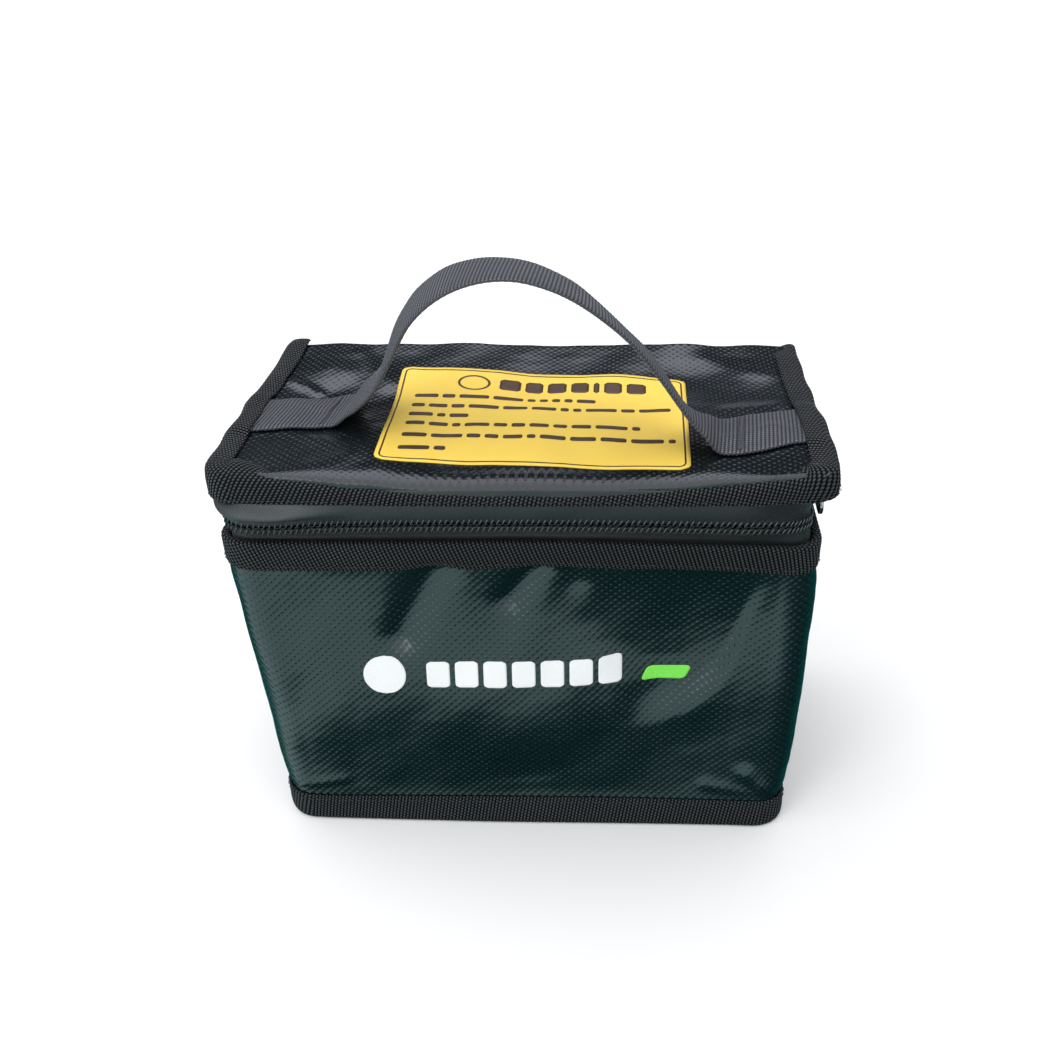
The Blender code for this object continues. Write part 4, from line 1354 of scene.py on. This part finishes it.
# ------------------------------------------------------------------ printed patches
def patches(name, rects, place, heights, steps, fewest, mat, lean=0.0):
    """Thin rounded rectangles in one mesh. Each rect is (left, right, low, high, radius);
    place(x, y, height) lays a point on the surface, heights are those of the outer and inner
    faces, and steps and fewest set the grid along and up the patch."""
    points, faces, uvs, base = [], [], [], 0
    for left, right, low, high, radius in rects:
        cols = max(fewest[0], int((right - left) / steps[0]) + 2)
        rows = max(fewest[1], int((high - low) / steps[1]) + 2)
        y = np.linspace(low, high, rows)[:, None]
        into = np.clip(np.maximum(low + radius - y, y - (high - radius)) / radius, 0, 1)
        cut = corner_cut(radius, into)
        share = np.linspace(0, 1, cols)
        x = (left + cut) * (1 - share) + (right - cut) * share + lean * (y - (low + high) / 2)
        y = np.broadcast_to(y, x.shape)
        points += [place(x, y, height).reshape(-1, 3) for height in heights]
        faces.append(sheet_faces(rows, cols, [grid_rim(rows, cols)]) + base)
        uvs += [stack(x, y).reshape(-1, 2)] * 2
        base += 2 * rows * cols
    faces = np.concatenate(faces).tolist()
    return mesh_object(name, np.concatenate(points), faces, mat, np.concatenate(uvs))


# ------------------------------------------------------------------ label on the lid
LABEL_W, LABEL_H, LABEL_R = 116.0, 79.0, 3.6
KEYLINE_INSET = 1.8
LABEL_CORNERS = {  # x, y on the lid
    "low_left": (-51.4, -43.6), "low_right": (61.6, -48.6),
    "high_left": (-54.6, 35.0), "high_right": (61.9, 27.8),
}


def label_point(x, y, above):
    """Point on the lid from label millimetres, measured from the label's low left corner."""
    right, high = (x / LABEL_W)[..., None], (y / LABEL_H)[..., None]
    corners = {name: np.array(corner) for name, corner in LABEL_CORNERS.items()}
    plan = (1 - right) * (1 - high) * corners["low_left"]
    plan = plan + right * (1 - high) * corners["low_right"]
    plan = plan + (1 - right) * high * corners["high_left"] + right * high * corners["high_right"]
    x, y = plan[..., 0], plan[..., 1]
    return stack(x, y, LID_Z + lid_dz(x, y) + above)


def label_patches(name, rects, above, thick, mat):
    heights = (above, above - thick)
    return patches(name, rects, label_point, heights, steps=(1.6, 1.4), fewest=(3, 7), mat=mat)


def label_line(name, path, half, *stands_for):
    """A thin printed line along a closed path in label millimetres."""
    path = np.array(path)
    tangent = np.roll(path, -1, 0) - np.roll(path, 1, 0)
    tangent /= np.linalg.norm(tangent, axis=1, keepdims=True)
    normal = stack(tangent[:, 1], -tangent[:, 0])
    loops = []
    for off, height in ((-half, 0.33), (-half, 0.39), (half, 0.39), (half, 0.33)):
        place = path + normal * off
        loops.append(label_point(place[:, 0], place[:, 1], height))
    faces = grid_faces(4, len(path), True, True).tolist()
    made = mesh_object(name, np.array(loops), faces, INK, np.tile(path, (4, 1)))
    finish(made, "label_ink", "lid", *stands_for)


def straight(start, end, step=2.0):
    """The points strictly between two points."""
    count = int(np.linalg.norm(end - start) / step)
    return [start + (end - start) * k / count for k in range(1, count)]


def rounded_path(left, right, low, high, radius, per_corner=8):
    path = []
    for x, y, start in (
        (right - radius, high - radius, 0), (left + radius, high - radius, 90),
        (left + radius, low + radius, 180), (right - radius, low + radius, 270),
    ):
        angle = np.radians(start + 90 * np.arange(per_corner + 1) / per_corner)
        corner = stack(x + radius * np.cos(angle), y + radius * np.sin(angle))
        if path:
            path += straight(path[-1], corner[0])
        path += list(corner)
    return path + straight(path[-1], path[0])


def label_bars():
    """Plain bars for the label's text: a heavy title row and rows of short dashes."""
    bars = []
    x = 41.5
    for width in (10.5, 9.0, 9.5, 9.0, 4.2, 9.0, 9.5):
        bars.append((x, x + width - 1.9, 63.2, 72.0, 1.3))
        x += width
    rng = np.random.default_rng(12)
    for low, end in ((54.0, 84), (45.2, 112), (36.8, 33), (28.6, 98), (18.6, 111), (8.4, 26)):
        x = 8.0
        while x < end - 2.5:
            width = min(rng.choice([3.2, 5.2, 7.4, 9.6, 12.0]), end - x)
            bars.append((x, x + width, low, low + 3.0, 0.8))
            x += width + 1.7
    return bars


label_film = label_patches(
    "lid_label_film", [(0, LABEL_W, 0, LABEL_H, LABEL_R)], above=0.32, thick=0.25, mat=LABEL
)
finish(label_film, "label_film", "lid", "lid_label")
keyline = rounded_path(
    KEYLINE_INSET, LABEL_W - KEYLINE_INSET, KEYLINE_INSET, LABEL_H - KEYLINE_INSET, radius=2.6
)
label_line("label_keyline_print", keyline, 0.32, "label_keyline")
angle = TAU * np.arange(48) / 48
label_line("label_ring_print", stack(31.0 + 6.2 * np.cos(angle), 67.5 + 5.6 * np.sin(angle)), 0.5)
label_text = label_patches("label_bars_print", label_bars(), above=0.40, thick=0.12, mat=INK)
finish(label_text, "label_ink", "lid")

# ------------------------------------------------------------------ prints on the front
PRINT_Z = 76.5
BAR_PITCH, BAR_W = 10.95, 8.9


def front_point(x, z, out):
    return wall(x / (half_w(z) - CORNER_R) * BODY.front, z, out)


def front_print(part, rects, mat, slot_name, lean=0.0):
    made = patches(
        f"front_{part}_print", rects, front_point, heights=(0.16, -0.05), steps=(0.8, 0.6),
        fewest=(9, 13), mat=mat, lean=lean,
    )
    finish(made, slot_name, "bag", f"front_print_{part}")


disc = [(-61, -44.5, PRINT_Z - 8.2, PRINT_Z + 8.2, 8.19)]
bar_lefts = [-36.5 + i * BAR_PITCH for i in range(7)]
bars = [(left, left + BAR_W, PRINT_Z - 5.4, PRINT_Z + 5.4, 1.6) for left in bar_lefts]
accent = [(46.5, 63.5, PRINT_Z - 7.4, PRINT_Z - 1.8, 1.6)]
front_print("disc", disc, WHITE, "print_white")
front_print("bar", bars, WHITE, "print_white")
front_print("accent", accent, GREEN, "print_green", lean=0.5)

# ------------------------------------------------------------------ handle
STRAP_TURN = math.radians(-6.0)
STRAP_HALF, STRAP_THICK, STRAP_COLS = 15.0, 1.45, 34
STRAP_ABOVE = 0.95  # the strap's middle over the lid's cloth
# The strap's front and back edges seen from the front: x, z.
EDGE_FRONT = [
    (-105, 163.4), (-98, 163.6), (-92, 164.2), (-84, 164.6), (-77, 164.8), (-71, 165.2),
    (-66.8, 166.2), (-61.9, 169), (-57.1, 173.2), (-53.2, 177), (-49.3, 182.4), (-44, 191),
    (-39.3, 199.6), (-36.3, 204.3), (-32.2, 208.8), (-26.8, 213.3), (-19.3, 217.7),
    (-13.6, 219.9), (-7.5, 221.4), (-1.3, 222), (4.9, 221.7), (11, 220.3), (17, 218.3),
    (23.1, 215.4), (29.1, 211.7), (35.2, 207.2), (39.2, 203.9), (42.3, 201), (51.6, 189.7),
    (56.2, 183.6), (60.5, 177.8), (65.1, 172.2), (69.1, 168.4), (74.1, 165.4), (80, 164.2),
    (90, 163.8), (98, 163.4), (105, 163),
]
EDGE_BACK = [
    (-105, 165.2), (-98, 165.4), (-92, 166.2), (-84, 166.2), (-78, 166.2), (-72, 167),
    (-68.9, 168.2), (-63.8, 171.3), (-59.8, 175.1), (-56.3, 179.4), (-53.3, 186), (-51.2, 192.9),
    (-48.7, 197.8), (-45.5, 202.5), (-41.9, 207.3), (-35.6, 212.7), (-28.4, 217.2),
    (-21.4, 219.4), (-14.6, 220.6), (-7.9, 220.7), (-1.3, 220.1), (5.2, 218.4), (11.7, 215.6),
    (18.2, 212.1), (24.7, 206.7), (31.2, 200.6), (38.2, 193.8), (42.2, 190.3), (48.5, 184),
    (55, 177.4), (59.6, 172.6), (63.5, 170), (68, 167.4), (74, 165.4), (80, 164), (90, 163.8),
    (98, 163.4), (105, 163),
]
STRAP_SHIFT = (  # x, shift in y
    (-105, -7.5), (-97, -5.0), (-86, -0.5), (-74, 4.5), (-64, 3.5), (-52, 0), (50, 0),
    (60, -1.5), (70, -3), (80, -1.5), (90, 3), (100, 8), (105, 10),
)


def smoothed(points):
    """A fine smoothed line through points."""
    points = np.array(points, float)
    lengths = path_lengths(points)
    fine = np.linspace(0, lengths[-1], 1500)
    path = stack(*(curve(fine, lengths, points[:, i]) for i in range(2)))
    kernel = np.hanning(61)
    kernel /= kernel.sum()
    padded = np.concatenate([np.repeat(path[:1], 30, 0), path, np.repeat(path[-1:], 30, 0)])
    return stack(*(np.convolve(padded[:, i], kernel, "valid") for i in range(2)))


def strap_edge(path, across, count):
    """Evenly spaced points of an edge: across is -1 at the front edge and 1 at the back edge."""
    lengths = path_lengths(path)
    places = np.linspace(0, lengths[-1], count)
    x, z = (np.interp(places, lengths, path[:, i]) for i in range(2))
    y = across * STRAP_HALF + line(x, STRAP_SHIFT)
    if across > 0:  # the webbing curls where it rises off the lid on the right
        y = y - 12.0 * bump(x, 61, 11)
    cos, sin = math.cos(STRAP_TURN), math.sin(STRAP_TURN)
    return stack(x * cos - y * sin, x * sin + y * cos + GRIP_Y, z)


front_path = smoothed(EDGE_FRONT)
strap_length = path_lengths(front_path)[-1]
count = int(strap_length / STRAP_RIB * 5)
front_edge = strap_edge(front_path, -1, count)
back_edge = strap_edge(smoothed(EDGE_BACK), 1, count)
widths = back_edge - front_edge
middle = (front_edge + back_edge) / 2
tangent = np.gradient(middle, axis=0)
normal = np.cross(tangent, widths)
normal /= np.linalg.norm(normal, axis=1, keepdims=True)
normal *= np.sign(normal[len(normal) // 2, 2])

# cross section (share of the half width, height): flat faces, rounded selvedges, a slight crown
across = np.linspace(-1, 1, STRAP_COLS) * 0.985
face = stack(across, STRAP_THICK / 2 * (1 - np.abs(across) ** 14 * 0.6))
section = np.vstack([face, (1.0, 0.0), face[::-1] * (1, -1), (-1.0, 0.0)])
crowned = section[:, 1] + 0.35 * (1 - section[:, 0] ** 2)
strap_points = (
    middle[:, None]
    + widths[:, None] * (section[None, :, :1] / 2)
    + normal[:, None] * crowned[None, :, None]
)
# where the strap lies on the lid it follows the cloth below it, and its ends tuck down
flat = smooth(167.5, 164.6, np.minimum(front_edge[:, 2], back_edge[:, 2]))
flat = (flat * smooth(60, 72, np.abs(middle[:, 0])))[:, None]
x, y, z = np.moveaxis(strap_points, -1, 0)
resting = LID_Z + lid_dz(np.clip(x, -106, 106), y) + STRAP_ABOVE + section[:, 1]
z = np.maximum(z * (1 - flat) + resting * flat, resting - 0.05)
strap_points[..., 2] = z - 0.35 * smooth(96, 101.5, np.abs(x))

strap = band(
    "handle_strap_webbing", strap_points, np.linspace(0, strap_length, count),
    path_lengths(section * [STRAP_HALF, 1]), WEBBING, slant=0.03, height=0.16,
    pitch=STRAP_RIB, knots=STRAP_KNOT,
)
finish(strap, "handle_webbing", None, "handle_left_end", "handle_right_end", "handle_grip")
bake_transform(strap)


def bar_tack(side, at_x):
    """A tight zigzag of thread across the strap, near where it leaves the lid."""
    strokes = 42
    column = int(np.argmin(np.abs(middle[:, 0] - at_x)))
    share = np.linspace(-12.5, 12.5, strokes) / (2 * STRAP_HALF)
    centres = middle[column] + widths[column] * share[:, None]
    nearest = np.round((share + 0.5) * (STRAP_COLS - 1)).astype(int)
    nearest = np.clip(nearest, 0, STRAP_COLS - 1)
    centres[:, 2] = strap_points[column, nearest, 2] + 0.14
    along = tangent[column] / np.linalg.norm(tangent[column])
    across = widths[column] / np.linalg.norm(widths[column])
    lean = np.where(np.arange(strokes) % 2 == 0, 0.32, -0.32)[:, None]
    axis = along + across * lean
    made = capsules(f"{side}_bar_tack_thread", centres, axis, (0, 0, 1.0), 1.35, 0.27, TACK)
    finish(made, "stitch_thread", "lid", f"{side}_bar_tack")


bar_tack("left", at_x=-76.5)
bar_tack("right", at_x=80.0)

# ------------------------------------------------------------------ sliders and pulls
for node in ("front_zip_slider", "rear_zip_slider", "front_zip_pull", "rear_zip_pull"):
    obj = frame["nodes"][node]
    obj.data.materials.clear()
    obj.data.materials.append(METAL)
    bevel = obj.modifiers.new("edge", "BEVEL")
    bevel.width = 0.22 * MM
    bevel.segments = 2
    bevel.limit_method = "ANGLE"
    bevel.angle_limit = math.radians(40)
    bevel.use_clamp_overlap = True

# ------------------------------------------------------------------ floor and lights
FLOOR_HALF, FLOOR_Z = 9, -0.0001  # metres
floor_corners = [
    (x * FLOOR_HALF, y * FLOOR_HALF, FLOOR_Z) for x, y in ((-1, -1), (1, -1), (1, 1), (-1, 1))
]
floor_mesh = bpy.data.meshes.new("floor")
floor_mesh.from_pydata(floor_corners, [], [(0, 1, 2, 3)])
floor = bpy.data.objects.new("floor", floor_mesh)
SCENE.collection.objects.link(floor)
floor_mesh.materials.append(Material("pale_floor").shade({
    "Base Color": (0.93, 0.93, 0.93),
    "Roughness": 0.95,
    "Specular IOR Level": 0.0,
}))
floor.visible_glossy = False
floor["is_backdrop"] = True


def light(name, kind, place, aim, energy, glossy):
    """A light at a place in metres, turned to aim; glossy ones show in reflections."""
    data = bpy.data.lights.new(name, kind)
    data.energy = energy
    obj = bpy.data.objects.new(name, data)
    obj.location = place
    obj.rotation_euler = (Vector(aim) - Vector(place)).to_track_quat("-Z", "Y").to_euler()
    obj.visible_glossy = glossy
    SCENE.collection.objects.link(obj)
    return data


key = light("key", "SUN", place=(-0.6, 0.3, 2.0), aim=(0, 0, 0.1), energy=2.1, glossy=False)
key.angle = math.radians(110)
fill = light(
    "fill", "AREA", place=(-0.40, -0.60, 0.50), aim=(-0.02, -0.05, 0.12), energy=1.35, glossy=True
)
fill.size = 0.32


def studio_world():
    """White for the camera, even grey for diffuse light, and a shaped surround for reflections:
    a slanted pale front, and low and high glows behind."""
    world = bpy.data.worlds.new("studio")
    SCENE.world = world
    world.use_nodes = True
    net = Net(world.node_tree)
    background = net.nodes["Background"]
    x, y, z = net.split(net.source("ShaderNodeTexCoord", "Generated"))
    elevation = net.math("ARCSINE", z) * (180 / math.pi)  # degrees
    forward = net.step(y, low=0.12, high=-0.12)
    # the front's lower edge slants, rising towards the right
    edge = -30.0 + x * 31.0
    front_light = net.step(elevation - edge, low=-4.5, high=4.5)
    front = net.mix(front_light, (0.0, 0.01, 0.01), (1.08, 1.46, 1.44))
    front = net.mix(net.step(elevation, low=16.0, high=34.0), front, (2.2, 2.25, 2.4))
    below = net.step(elevation, low=-4.0, high=-16.0)
    low = net.step(elevation, low=20.0, high=12.0) * net.step(elevation, low=-9.0, high=-1.0)
    high = net.step(elevation, low=38.0, high=50.0)
    back_level = 0.03 + low * 0.5 + high * 3.0
    tinted = net.nodes.new("ShaderNodeVectorMath")
    tinted.operation = "SCALE"
    tinted.inputs[0].default_value = (0.93, 0.95, 1.06)
    net.put(tinted.inputs["Scale"], back_level)
    behind = net.mix(below, Wire(net, tinted.outputs[0]), (0.0, 0.15, 0.135))
    reflected = net.mix(forward, behind, front)
    rays = net.nodes.new("ShaderNodeLightPath").outputs
    colour = net.mix(Wire(net, rays["Is Glossy Ray"]), (0.62, 0.63, 0.65), reflected)
    colour = net.mix(Wire(net, rays["Is Camera Ray"]), colour, (1.0, 1.0, 1.0))
    net.put(background.inputs["Color"], colour)
    background.inputs["Strength"].default_value = 1.0


studio_world()

# ------------------------------------------------------------------ camera
CAMERA_PLACE = (42.98, -388.07, 335.67)
PITCH, YAW, ROLL = 0.53006, -0.11212, -0.04574  # radians
aim = Vector((math.sin(YAW) * math.cos(PITCH), math.cos(YAW) * math.cos(PITCH), -math.sin(PITCH)))
level_right = Vector((math.cos(YAW), -math.sin(YAW), 0))
level_up = level_right.cross(aim)
camera_right = math.cos(ROLL) * level_right + math.sin(ROLL) * level_up
camera_up = -math.sin(ROLL) * level_right + math.cos(ROLL) * level_up
camera_data = bpy.data.cameras.new("camera")
camera_data.sensor_width = 36.0
camera_data.lens = 37.2324906
camera_data.clip_start, camera_data.clip_end = 0.01, 50
camera = bpy.data.objects.new("camera", camera_data)
matrix = Matrix((camera_right, camera_up, -aim)).transposed().to_4x4()
matrix.translation = Vector(CAMERA_PLACE) * MM
camera.matrix_world = matrix
SCENE.collection.objects.link(camera)
SCENE.camera = camera
SCENE.view_settings.view_transform = "Standard"

# ------------------------------------------------------------------ sizes out
bpy.context.view_layer.update()
boxes = {"cad": cad_box, "visual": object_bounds()}
sizes = {name: [[float(c) for c in corner] for corner in box] for name, box in boxes.items()}
